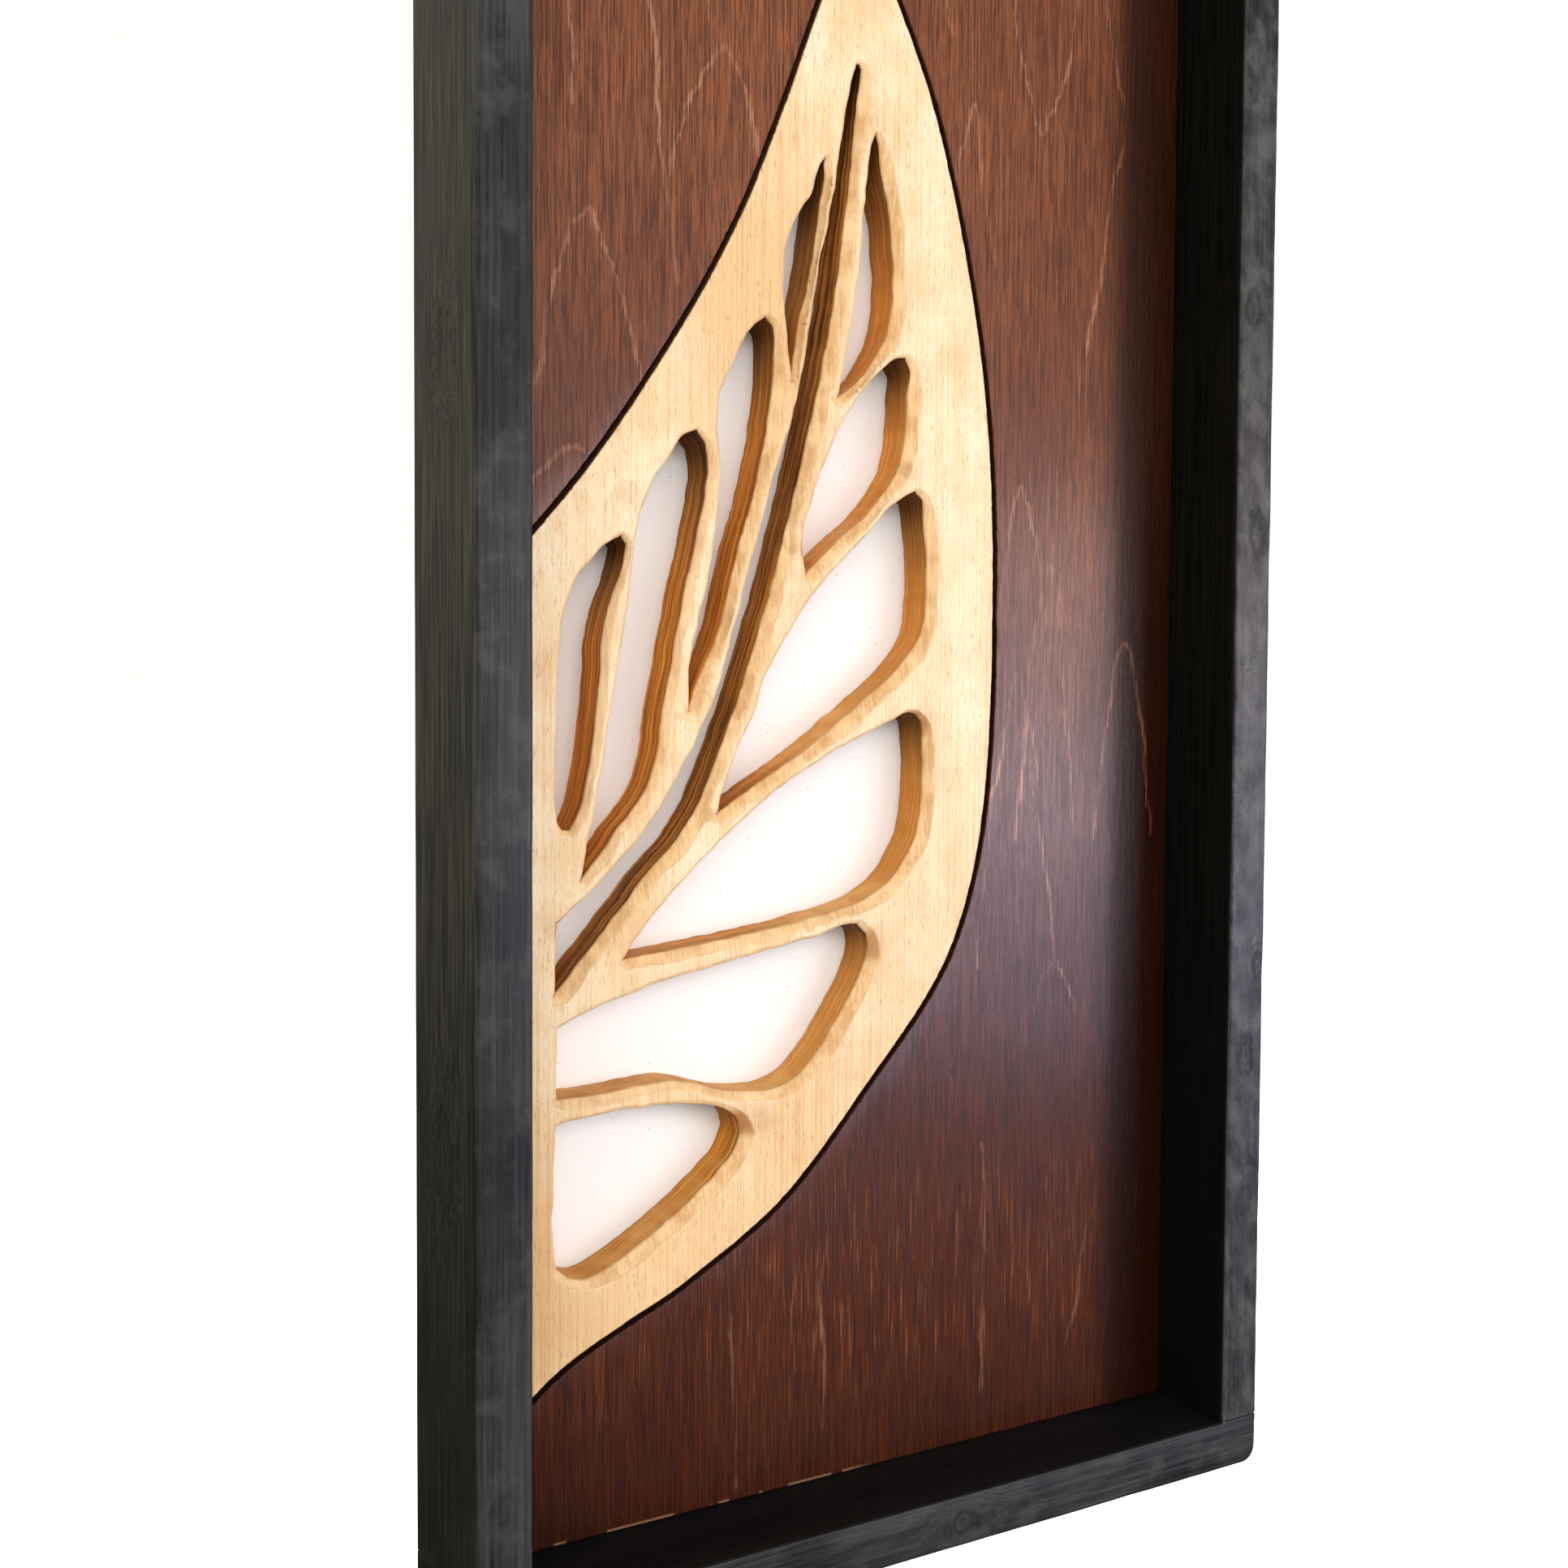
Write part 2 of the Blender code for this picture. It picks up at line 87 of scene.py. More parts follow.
def mesh_object(name, bm):
    """An object with the bmesh's solid, its faces pointing out. The bmesh is used up."""
    bmesh.ops.recalc_face_normals(bm, faces=bm.faces)
    mesh = bpy.data.meshes.new(name)
    bm.to_mesh(mesh)
    bm.free()
    return new_object(name, mesh)


def soften(mesh, degrees):
    """Smooth shading, but for edges that turn more than this."""
    mesh.shade_smooth()
    mesh.set_sharp_from_angle(angle=math.radians(degrees))


def add_layer(mesh, title, values):
    """A number for each point, which a material reads by its title."""
    layer = mesh.attributes.new(title, "FLOAT", "POINT")
    layer.data.foreach_set("value", np.asarray(values, np.float32))


def tube(bm, rings, closed=False):
    """Faces between rings of points, round each ring, with flat ends unless the tube closes on itself."""
    for here, ahead in zip(rings, rings[1:] + rings[:1] if closed else rings[1:]):
        for k in range(len(here)):
            following = (k + 1) % len(here)
            bm.faces.new((here[k], here[following], ahead[following], ahead[k]))
    if not closed:
        bm.faces.new(rings[0])
        bm.faces.new(rings[-1][::-1])


# ---- Outlines ----


def front_loops(node):
    """The closed loops round a board's front face, in millimetres, with the wood on their left."""
    mesh = NODES[node].data
    spots = [tuple(round(c / MM, 2) for c in v.co) for v in mesh.vertices]
    front = min(y for _, y, _ in spots)
    edges = set()
    for face in mesh.polygons:
        if all(abs(spots[v][1] - front) < 0.02 for v in face.vertices):
            ring = [(spots[v][0], spots[v][2]) for v in face.vertices]
            edges.update(zip(ring, ring[1:] + ring[:1]))
    follow = {a: b for a, b in edges if (b, a) not in edges}
    loops = []
    while follow:
        start = min(follow)
        loop = [start]
        spot = follow.pop(start)
        while spot != start:
            loop.append(spot)
            spot = follow.pop(spot)
        loops.append(np.array(loop))
    return sorted(loops, key=lambda loop: -np.ptp(loop[:, 0]) * np.ptp(loop[:, 1]))


def unit(vectors):
    return vectors / np.maximum(np.linalg.norm(vectors, axis=-1, keepdims=True), 1e-9)


def sharp_corners(loop):
    before = unit(loop - np.roll(loop, 1, 0))
    after = unit(np.roll(loop, -1, 0) - loop)
    turn = np.arccos(np.clip((before * after).sum(1), -1, 1))
    return turn > SHARP_TURN


def smooth_loop(loop, step):
    """Points at even steps along a smooth curve through the loop, which keeps its sharp corners."""
    sharp = sharp_corners(loop)
    count = len(loop)
    points = []
    for i in range(count):
        a, b = loop[i], loop[(i + 1) % count]
        length = np.linalg.norm(b - a)
        leave = unit(b - loop[i - 1]) * length
        arrive = unit(loop[(i + 2) % count] - a) * length
        if sharp[i]:
            leave = b - a
        if sharp[(i + 1) % count]:
            arrive = b - a
        steps = max(1, round(length / step))
        t = (np.arange(steps) / steps)[:, None]
        points.append(
            (2 * t**3 - 3 * t**2 + 1) * a
            + (t**3 - 2 * t**2 + t) * leave
            + (3 * t**2 - 2 * t**3) * b
            + (t**3 - t**2) * arrive
        )
    return np.concatenate(points)


def inward(loop):
    """The mitred direction into the wood at each point: one millimetre across, for an edge that turns."""
    before = unit(loop - np.roll(loop, 1, 0))
    after = unit(np.roll(loop, -1, 0) - loop)
    left = unit(np.stack([-before[:, 1] - after[:, 1], before[:, 0] + after[:, 0]], 1))
    flat = np.stack([-before[:, 1], before[:, 0]], 1)
    return left / np.maximum((left * flat).sum(1), 0.4)[:, None]


def ripple(points, size, seed=0.0):
    """Smooth noise from -1 to 1 at (x, z) or (x, y, z) points, with waves of about that size."""
    spread = np.zeros((len(points), 3))
    spread[:, : points.shape[1]] = points / size
    spread[:, 2 if points.shape[1] == 2 else 1] += seed * 7.31
    return np.array([noise.noise(Vector(p)) for p in spread])


def inside(points, loops):
    """Which points lie in the wood, by counting crossings of all the loops."""
    order = np.argsort(points[:, 1])
    xs, zs = points[order, 0], points[order, 1]
    odd = np.zeros(len(points), bool)
    for loop in loops:
        for (ax, az), (bx, bz) in zip(loop, np.roll(loop, -1, 0)):
            if az == bz:
                continue
            first, last = np.searchsorted(zs, sorted((az, bz)))
            part = slice(first, last)
            odd[part] ^= xs[part] < ax + (zs[part] - az) * (bx - ax) / (bz - az)
    result = np.zeros(len(points), bool)
    result[order] = odd
    return result


# ---- Boards ----

EDGE_ROWS = (0.06, 0.2, 0.45, 0.75, 1.0)


def tree_of(points):
    """A tree that finds the nearest of some (x, z) points."""
    tree = kdtree.KDTree(len(points))
    for i, (x, z) in enumerate(points):
        tree.insert((x, z, 0), i)
    tree.balance()
    return tree


def nearest(tree, points):
    """For each (x, z) point, the number of the tree's nearest point, and how far it is."""
    found = [tree.find((x, z, 0)) for x, z in points]
    return np.array([f[1] for f in found]), np.array([f[2] for f in found])


def triangulated(loops, rows, reach, spacing, marks=()):
    """Flat triangles over the wood inside the loops: points, triangles, each loop's points, and the tree.

    rows holds, for each loop, arrays of offsets into the wood. marks are more points to take in.
    The rest is filled with an even grid.
    """
    border = np.concatenate(loops)
    tree = tree_of(border)
    extra = [np.zeros((0, 2))]
    for loop, offsets in zip(loops, rows):
        into = inward(loop)
        for offset in offsets:
            moved = loop + into * offset[:, None]
            extra.append(moved[nearest(tree, moved)[1] > 0.85 * offset])
    if len(marks):
        extra.append(marks[nearest(tree, marks)[1] > reach + 0.5])
    low, high = border.min(0), border.max(0)
    xs = np.arange(low[0] + spacing / 2, high[0], spacing)
    zs = np.arange(low[1] + spacing / 2, high[1], spacing * 0.87)
    grid = np.array([(x + spacing / 2 * (k % 2), z) for k, z in enumerate(zs) for x in xs])
    extra.append(grid[nearest(tree, grid)[1] > reach + spacing * 0.6])
    extra = np.concatenate(extra)
    points = np.concatenate([border, extra[inside(extra, loops)]])
    edges, starts, first = [], [], 0
    for loop in loops:
        starts.append(first)
        edges += [(first + i, first + (i + 1) % len(loop)) for i in range(len(loop))]
        first += len(loop)
    made = delaunay_2d_cdt([Vector(p) for p in points], edges, [], 0, 1e-6)
    spots = np.array([tuple(v) for v in made[0]])
    triangles = np.array([tuple(f) for f in made[2]])
    keep = inside(spots[triangles].mean(1), loops)
    place = {}
    for index, sources in enumerate(made[3]):
        for source in sources:
            place[source] = index
    rings = [np.array([place[s + i] for i in range(len(loop))]) for s, loop in zip(starts, loops)]
    return spots, triangles[keep], rings, tree


class Edge:
    """How a board's front is worn or carved along its loops, at each point of the border."""

    def __init__(self, loops, radius, back_radius):
        nothing = np.zeros(sum(len(loop) for loop in loops))
        self.radius = nothing + radius
        self.bevel_width = nothing.copy()
        self.bevel_depth = nothing.copy()
        self.back_radius = nothing + back_radius

    def drop(self, away, near):
        """How far the front lies below its flat, at a distance from the border point near."""
        radius = np.maximum(self.radius[near], 1e-6)
        short = np.clip(away, 0, radius)
        fall = radius - np.sqrt(np.maximum(radius**2 - (radius - short) ** 2, 0))
        width = np.maximum(self.bevel_width[near], 1e-6)
        share = np.clip(away / width, 0, 1)
        return fall + self.bevel_depth[near] * (1 - share) ** 1.1 * (width > 1e-3)

    def carved(self, away, near):
        """How far down the bevel a point lies: 1 at the edge, and 0 where the bevel ends."""
        return np.clip(1 - away / np.maximum(self.bevel_width[near], 1e-3), 0, 1)


def board(name, loops, front, back, edge, spacing, levels, wall=None, face=None, holes=(), marks=()):
    """A solid board with carved edges, in millimetres. front and back are its Y, with front the lower.

    wall(points, into, share) says how far the wall's points move into the wood, at a share of the way back.
    face(points, away) lowers the front.
    holes are blind screw holes in the back: (x, z, radius, depth).
    """
    counts = [len(loop) for loop in loops]
    firsts = np.cumsum([0] + counts)
    reach = float(np.max(np.maximum(edge.radius, edge.bevel_width)))
    rows = []
    for k, count in enumerate(counts):
        part = slice(firsts[k], firsts[k] + count)
        radius, width = edge.radius[part], edge.bevel_width[part]
        offsets = [radius * share for share in EDGE_ROWS]
        extra = np.maximum(width - radius, 0)
        if extra.max() > 1:
            offsets += [radius + extra * share for share in (0.33, 0.66, 1.0)] + [width + 0.5]
        rows.append(offsets)
    spots, triangles, rings, tree = triangulated(loops, rows, reach, spacing, marks)
    near, away = nearest(tree, spots)
    for k, ring in enumerate(rings):
        near[ring] = np.arange(counts[k]) + firsts[k]
        away[ring] = 0
    drop = edge.drop(away, near)
    if face:
        drop = drop + face(spots, away)
    vertices = []
    faces = [tuple(t) for t in triangles]
    total = 0

    def put(points, y):
        """Adds (x, z) points at that Y, and returns their numbers."""
        nonlocal total
        vertices.append(np.column_stack([points[:, 0], np.zeros(len(points)) + y, points[:, 1]]))
        total += len(points)
        return np.arange(total - len(points), total)

    def skin(ring, ahead):
        """Faces between two rings of points."""
        quads = np.column_stack([ring, ahead, np.roll(ahead, -1), np.roll(ring, -1)])
        faces.extend(tuple(q) for q in quads)

    y_front = front + np.maximum(drop, 0)
    put(spots, y_front)
    carved = edge.carved(away, near)
    layers = [("cut", np.minimum(away, 12.0), 0), ("wall", 0 * away, 1), ("carved", carved, 1)]
    backs = []
    for k, (loop, ring) in enumerate(zip(loops, rings)):
        into = inward(loop)
        top = y_front[ring]
        tuck = edge.back_radius[firsts[k] : firsts[k] + counts[k]]
        previous = ring
        for level in range(levels):
            share = max(level / (levels - 1), 0.025)
            shift = wall(loop, into, share) if wall else np.zeros(len(loop))
            moved = loop + into * shift[:, None]
            here = put(moved, top + (back - tuck - top) * share)
            skin(previous, here)
            previous = here
        inner = moved + into * tuck[:, None]
        here = put(inner, back)
        skin(previous, here)
        backs.append((inner, here))

    back_loops = [inner for inner, _ in backs]
    for x, z, radius, _ in holes:
        turn = -2 * np.pi * np.arange(16) / 16
        back_loops.append(np.column_stack([x + radius * np.cos(turn), z + radius * np.sin(turn)]))
    no_rows = [[]] * len(back_loops)
    spots, triangles, rings, _ = triangulated(back_loops, no_rows, 0.0, max(spacing, 6.0) * 2)
    index = np.full(len(spots), -1)
    for (_, here), ring in zip(backs, rings):
        index[ring] = here
    fresh = index < 0
    index[fresh] = put(spots[fresh], back)
    faces += [tuple(index[t][::-1]) for t in triangles]
    for (x, z, _, depth), ring in zip(holes, rings[len(backs) :]):
        rim = index[ring]
        here = put(spots[ring], back - depth)
        (tip,) = put(np.array([[x, z]]), back - depth - 1)
        for i in range(len(rim)):
            j = (i + 1) % len(rim)
            faces.append((rim[j], here[j], here[i], rim[i]))
            faces.append((here[j], tip, here[i]))

    mesh = bpy.data.meshes.new(name)
    mesh.from_pydata((np.concatenate(vertices) * MM).tolist(), [], [tuple(map(int, f)) for f in faces])
    mesh.validate()
    for title, values, elsewhere in layers:
        add_layer(mesh, title, np.append(values, np.full(total - len(values), elsewhere)))
    bm = bmesh.new()
    bm.from_mesh(mesh)
    bpy.data.meshes.remove(mesh)
    obj = mesh_object(name, bm)
    soften(obj.data, 50)
    return obj


def settle(obj, node, material, body="panel"):
    """Puts a finished piece in place of its CAD node."""
    obj.data.materials.clear()
    obj.data.materials.append(material)
    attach(obj, body)
    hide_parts(node)
    return obj


# ---- Material nodes ----


class Value:
    """A node's output, which can be reckoned with as if it were a number. Each step adds a math node."""

    def __init__(self, shader, socket):
        self.shader = shader
        self.socket = socket

    def __add__(self, other):
        return self.shader.math("ADD", self, other)

    def __sub__(self, other):
        return self.shader.math("SUBTRACT", self, other)

    def __rsub__(self, other):
        return self.shader.math("SUBTRACT", other, self)

    def __mul__(self, other):
        return self.shader.math("MULTIPLY", self, other)

    def __truediv__(self, other):
        return self.shader.math("DIVIDE", self, other)

    def __pow__(self, other):
        return self.shader.math("POWER", self, other)

    def __abs__(self):
        return self.shader.math("ABSOLUTE", self)


class Nodes:
    """A short way to write a node tree: most methods add a node and return its output as a Value."""

    def __init__(self, tree):
        self.tree = tree

    def add(self, kind, **settings):
        node = self.tree.nodes.new(kind)
        for key, value in settings.items():
            setattr(node, key, value)
        return node

    def fed(self, node, output, **sockets):
        """Sets or links a node's inputs, named with _ for a space, and returns one of its outputs."""
        for key, value in sockets.items():
            self.plug(node.inputs[key.replace("_", " ")], value)
        return Value(self, node.outputs[output])

    def plug(self, socket, value):
        if isinstance(value, Value):
            self.tree.links.new(value.socket, socket)
        elif socket.type == "RGBA":
            socket.default_value = (*value, 1)
        else:
            socket.default_value = value

    def mix(self, share, a, b):
        node = self.add("ShaderNodeMix", data_type="RGBA")
        for socket, value in zip((node.inputs[0], node.inputs[6], node.inputs[7]), (share, a, b)):
            self.plug(socket, value)
        return Value(self, node.outputs[2])


class Shader(Nodes):
    """A material's node tree. Its place is the spot in the row frame, in metres."""

    def __init__(self, name):
        self.material = bpy.data.materials.new(name)
        self.material.use_nodes = True
        super().__init__(self.material.node_tree)
        self.surface = self.tree.nodes["Principled BSDF"]
        self.place = Value(self, self.add("ShaderNodeTexCoord").outputs["Object"])

    def math(self, operation, *terms):
        node = self.add("ShaderNodeMath", operation=operation)
        for socket, term in zip(node.inputs, terms):
            self.plug(socket, term)
        return Value(self, node.outputs[0])

    def most(self, first, *others):
        for other in others:
            first = self.math("MAXIMUM", first, other)
        return first

    def noise(self, scale, shift=(0, 0, 0), detail=3, roughness=0.55, source=None):
        """Noise over the place times a scale for each axis, in waves to the metre."""
        spread = self.scaled(scale, shift, source)
        node = self.add("ShaderNodeTexNoise")
        return self.fed(node, "Fac", Vector=spread, Scale=1.0, Detail=detail, Roughness=roughness)

    def dots(self, scale, size):
        """1 in scattered spots, 0 elsewhere."""
        node = self.add("ShaderNodeTexVoronoi")
        distance = self.fed(node, "Distance", Vector=self.scaled(scale), Scale=1.0)
        return self.between(distance, size, size * 0.5)

    def scaled(self, scale, shift=(0, 0, 0), source=None):
        node = self.add("ShaderNodeMapping")
        return self.fed(node, 0, Vector=source or self.place, Scale=scale, Location=shift)

    def between(self, value, low, high, low_to=0.0, high_to=1.0):
        """A smooth step: low_to where the value is at low, and high_to where it is at high."""
        node = self.add("ShaderNodeMapRange", interpolation_type="SMOOTHSTEP")
        ends = {"From_Min": low, "From_Max": high, "To_Min": low_to, "To_Max": high_to}
        return self.fed(node, "Result", Value=value, **ends)

    def ramp(self, value, *stops):
        node = self.add("ShaderNodeValToRGB")
        elements = node.color_ramp.elements
        while len(elements) < len(stops):
            elements.new(1.0)
        for element, (position, color) in zip(elements, stops):
            element.position = position
            element.color = (*color, 1)
        return self.fed(node, 0, Fac=value)

    def axes(self, source=None):
        """The place's x, y and z, or another vector's."""
        node = self.add("ShaderNodeSeparateXYZ")
        self.fed(node, 0, Vector=source or self.place)
        return [Value(self, output) for output in node.outputs]

    def facing(self):
        """The surface's own normal in the row frame: its x, y and z."""
        normal = Value(self, self.add("ShaderNodeNewGeometry").outputs["Normal"])
        node = self.add("ShaderNodeVectorTransform", vector_type="NORMAL")
        node.convert_from = "WORLD"
        node.convert_to = "OBJECT"
        return self.axes(self.fed(node, 0, Vector=normal))

    def mask(self, name):
        """A number that the mesh holds for each point."""
        return Value(self, self.add("ShaderNodeAttribute", attribute_name=name).outputs["Fac"])

    def near(self, spot, reach, blur=1.0):
        """1 at a spot of the row frame, given as (x, z) in metres, and 0 beyond its reach (x, z)."""
        x, _, z = self.axes()
        across = (x - spot[0]) / reach[0]
        up = (z - spot[1]) / reach[1]
        distance = self.math("SQRT", across * across + up * up)
        return self.between(distance, 1.0, 1.0 - blur)

    def finish(self, color, roughness, height=None, depth=0.0, **sockets):
        """Sets the surface's sockets. depth is how far a height of 1 stands out, in metres."""
        if height is not None:
            bump = self.add("ShaderNodeBump")
            sockets["Normal"] = self.fed(bump, 0, Distance=depth, Strength=1.0, Height=height)
        self.fed(self.surface, 0, Base_Color=color, Roughness=roughness, **sockets)
        return self.material


# ---- Materials ----


def stained_ply():
    """Mahogany stain over rotary-cut veneer, under satin varnish. The veneer's figure takes less stain."""
    s = Shader("stained_ply")
    x, _, z = s.axes()
    streak = s.noise((1500, 400, 24), detail=4, roughness=0.65)
    fine = s.noise((3100, 900, 130), roughness=0.6)
    patch = s.noise((16, 5, 7))
    fibre = streak * 0.58 + fine * 0.42
    contrast = s.between(fibre, 0.42, 0.58)
    # Lighter towards the top left and darker at the foot.
    height = s.between(z, -0.30, 0.26)
    thin = height * 0.58 + patch * 0.5
    deep = s.ramp(
        thin,
        (0.1, (0.022, 0.0045, 0.0018)),
        (0.55, (0.042, 0.0095, 0.0035)),
        (0.95, (0.08, 0.021, 0.008)),
    )
    light = s.ramp(
        thin,
        (0.1, (0.072, 0.015, 0.0042)),
        (0.55, (0.12, 0.028, 0.0085)),
        (0.95, (0.275, 0.086, 0.029)),
    )
    color = s.mix(contrast, deep, light)
    bright = s.between(s.noise((1900, 500, 46), shift=(5, 2, 9)), 0.56, 0.72)
    # More pale streaks in a band low on the panel.
    streak_band = s.near((0.02, -0.25), (0.16, 0.06), 0.8)
    amount = bright * s.between(patch, 0.25, 0.75, 0.06, 0.42)
    amount = amount + streak_band * bright * 0.5
    color = s.mix(amount, color, (0.27, 0.088, 0.032))
    knot = s.near((0.040, -0.1705), (0.0026, 0.0018), 0.6)
    color = s.mix(knot * 0.8, color, (0.015, 0.004, 0.002))
    # Painted shade: darker along the right edge, where the right stile shades the panel and is mirrored in
    # it, and at the foot and the lower left corner. The cut edges are soaked.
    painted_edge_shade = s.between(x, 0.104, 0.128, 0.0, 0.86)
    foot = s.most(s.between(z, -0.27, -0.315, 0.0, 0.45), s.near((-0.15, -0.34), (0.17, 0.10), 1.0))
    painted_edge_shade = s.most(painted_edge_shade, foot * 0.75)
    color = s.mix(painted_edge_shade, color, (0.008, 0.0018, 0.0008))
    # The figure's lines, drawn out along the fibres.
    reach = s.between(fibre + (bright - 0.3) * 0.1, 0.38, 0.62, 0.05, 1.5)
    line = s.between(s.mask("figure") - reach, 0.35, -0.35)
    line = line * s.between(s.noise((30, 10, 30), shift=(1, 8, 2)), 0.34, 0.64, 0.22, 0.85)
    line = line * s.between(z, -0.2, -0.15, 0.45, 1.0)
    color = s.mix(
        line * s.between(fibre, 0.4, 0.6, 0.25, 0.95),
        color,
        s.mix(painted_edge_shade, (0.38, 0.175, 0.1), (0.2, 0.06, 0.02)),
    )
    color = s.mix(s.mask("wall") * 0.85, color, (0.045, 0.017, 0.012))
    rim = s.mask("cut") + (fine - 0.5) * 1.6
    color = s.mix(s.between(rim, 0.8, 0.1, 0.0, 0.6), color, (0.022, 0.006, 0.004))
    # A sliver of bare wood shows along the foot.
    sliver = s.between(z, -0.3183, -0.319) * s.between(s.noise((90, 5, 5), detail=2), 0.45, 0.5)
    sliver = sliver * s.between(x, 0.005, -0.01)
    color = s.mix(sliver * 0.45, color, (0.36, 0.2, 0.1))
    rough = s.between(fibre, 0.34, 0.66, 0.38, 0.22)
    grain = fibre * 1.6 + patch * 0.8
    return s.finish(color, rough, grain, 0.00016, Coat_Weight=0.3, Coat_Roughness=0.17)


def wing_ply():
    """Bare, oiled plywood: a pale face, tan carved edges, and layered walls that the blade has browned.
    Painted shade darkens the walls of the narrow openings and towards their tops, and painted light
    brightens their ledges.
    """
    s = Shader("wing_ply")
    x, _, z = s.axes()
    streak = s.noise((950, 220, 9), detail=4, roughness=0.62)
    fine = s.noise((2700, 900, 80), roughness=0.6)
    broad = s.noise((34, 10, 5), detail=2)
    blotch = s.noise((120, 60, 90))
    wide = s.noise((45, 30, 38), shift=(2, 9, 4))
    cut = s.mask("cut")
    wall = s.mask("wall")
    carved = s.mask("carved")
    face = s.ramp(
        streak * 0.4 + broad * 0.25 + wide * 0.35,
        (0.38, (0.64, 0.385, 0.18)),
        (0.48, (0.735, 0.54, 0.31)),
        (0.59, (0.765, 0.645, 0.44)),
    )
    stained = s.between(s.noise((80, 50, 42), detail=4, roughness=0.65, shift=(6, 2, 3)), 0.47, 0.62)
    face = s.mix(stained * s.between(x, 0.03, -0.03, 0.15, 0.4), face, (0.675, 0.425, 0.205))
    # Warmer and darker towards the foot, with a warm spot at the upper left. Towards the foot and in the
    # lower left corner this is painted shade: the light falls off downwards, and the left stile shades the
    # corner.
    warmth_and_shade = s.most(s.between(z, -0.02, -0.26, 0.0, 0.6), s.near((-0.052, 0.115), (0.05, 0.10), 0.8))
    # Painted shade where the left stile shades the lower left corner.
    foot = s.near((-0.142, -0.22), (0.045, 0.10), 0.9)
    warmth_and_shade = s.most(warmth_and_shade, foot)
    face = s.mix(warmth_and_shade * 0.9, face, s.mix(foot, (0.69, 0.435, 0.205), (0.63, 0.375, 0.16)))
    face = s.mix(warmth_and_shade * s.between(streak, 0.52, 0.38, 0.0, 0.55), face, (0.52, 0.265, 0.095))
    flecks = s.between(s.noise((1900, 500, 260), detail=2, shift=(4, 1, 8)), 0.57, 0.72)
    face = s.mix(flecks * 0.5, face, (0.42, 0.2, 0.07))
    pores = s.dots((420, 420, 170), 0.10)
    face = s.mix(pores * s.between(blotch, 0.5, 0.62, 0.0, 0.8), face, (0.2, 0.085, 0.03))
    # Carved wood near the openings is darker and less even.
    uneven = (blotch - 0.5) * 0.8 + (wide - 0.5)
    depth = carved * (uneven * 1.6 + 1.0)
    tone = streak * 0.25 + blotch * 0.45 + fine * 0.3
    tan = s.mix(s.between(tone, 0.40, 0.60), (0.55, 0.305, 0.120), (0.745, 0.50, 0.255))
    color = s.mix(s.between(depth, 0.03, 0.3) * s.mask("tool"), face, tan)
    # Painted shade: a thin brown line along the crease where the bevel meets the face.
    crease_shade = s.between(abs(depth - 0.16), 0.1, 0.0) * s.mask("tool")
    color = s.mix(crease_shade * s.between(wide, 0.42, 0.6, 0.1, 0.65), color, (0.5, 0.27, 0.095))
    # Scorched corners.
    burns = []
    for spot, reach, strength in BURNS:
        ragged = s.near(spot, reach) + (wide - 0.5) * 1.5
        burns.append(s.between(ragged, 0.2, 0.95) * strength)
    burn = s.most(*burns)
    color = s.mix(burn * s.between(carved, 0.0, 0.25, 0.3, 1.0), color, (0.36, 0.15, 0.042))
    # Walls show the plies edge on, smeared along by the blade.
    bent = s.noise((13, 620, 13), roughness=0.7)
    thin_ply = s.noise((60, 3000, 60))
    layers = s.between(bent * 0.68 + thin_ply * 0.32, 0.4, 0.6)
    bare = s.ramp(
        layers, (0.0, (0.55, 0.212, 0.04)), (0.5, (0.66, 0.275, 0.052)), (1.0, (0.75, 0.34, 0.08))
    )
    bare = s.mix(s.between(blotch, 0.35, 0.6, 0.45, 0.0), bare, (0.50, 0.18, 0.022))
    # Painted shade: the walls of the left openings take this darker ramp, with stronger ply stripes, where
    # the left stile and the narrow openings keep light out.
    shaded_plies = s.ramp(
        layers, (0.0, (0.3, 0.096, 0.01)), (0.5, (0.53, 0.188, 0.018)), (1.0, (0.78, 0.335, 0.046))
    )
    bare = s.mix(
        s.between(z, 0.0, -0.13, 0.0, 0.25), bare, s.mix(layers, (0.6, 0.27, 0.07), (0.72, 0.36, 0.11))
    )
    # Painted light: the wall faces that look upward, the ledges, are painted lighter, as if lit from above.
    _, _, upward = s.facing()
    lit_ledge = s.between(upward, 0.6, 0.92) * s.between(blotch, 0.3, 0.6, 0.65, 0.9)
    bare = s.mix(
        lit_ledge, bare, s.mix(s.between(wide, 0.38, 0.62), (0.62, 0.31, 0.075), (0.8, 0.44, 0.14))
    )
    # The left openings' walls take the painted shade; their lower ledges keep the painted light.
    walls = s.mix(
        s.between(x, -0.02, -0.055), bare, s.mix(lit_ledge * s.between(z, -0.1, -0.13), shaded_plies, bare)
    )
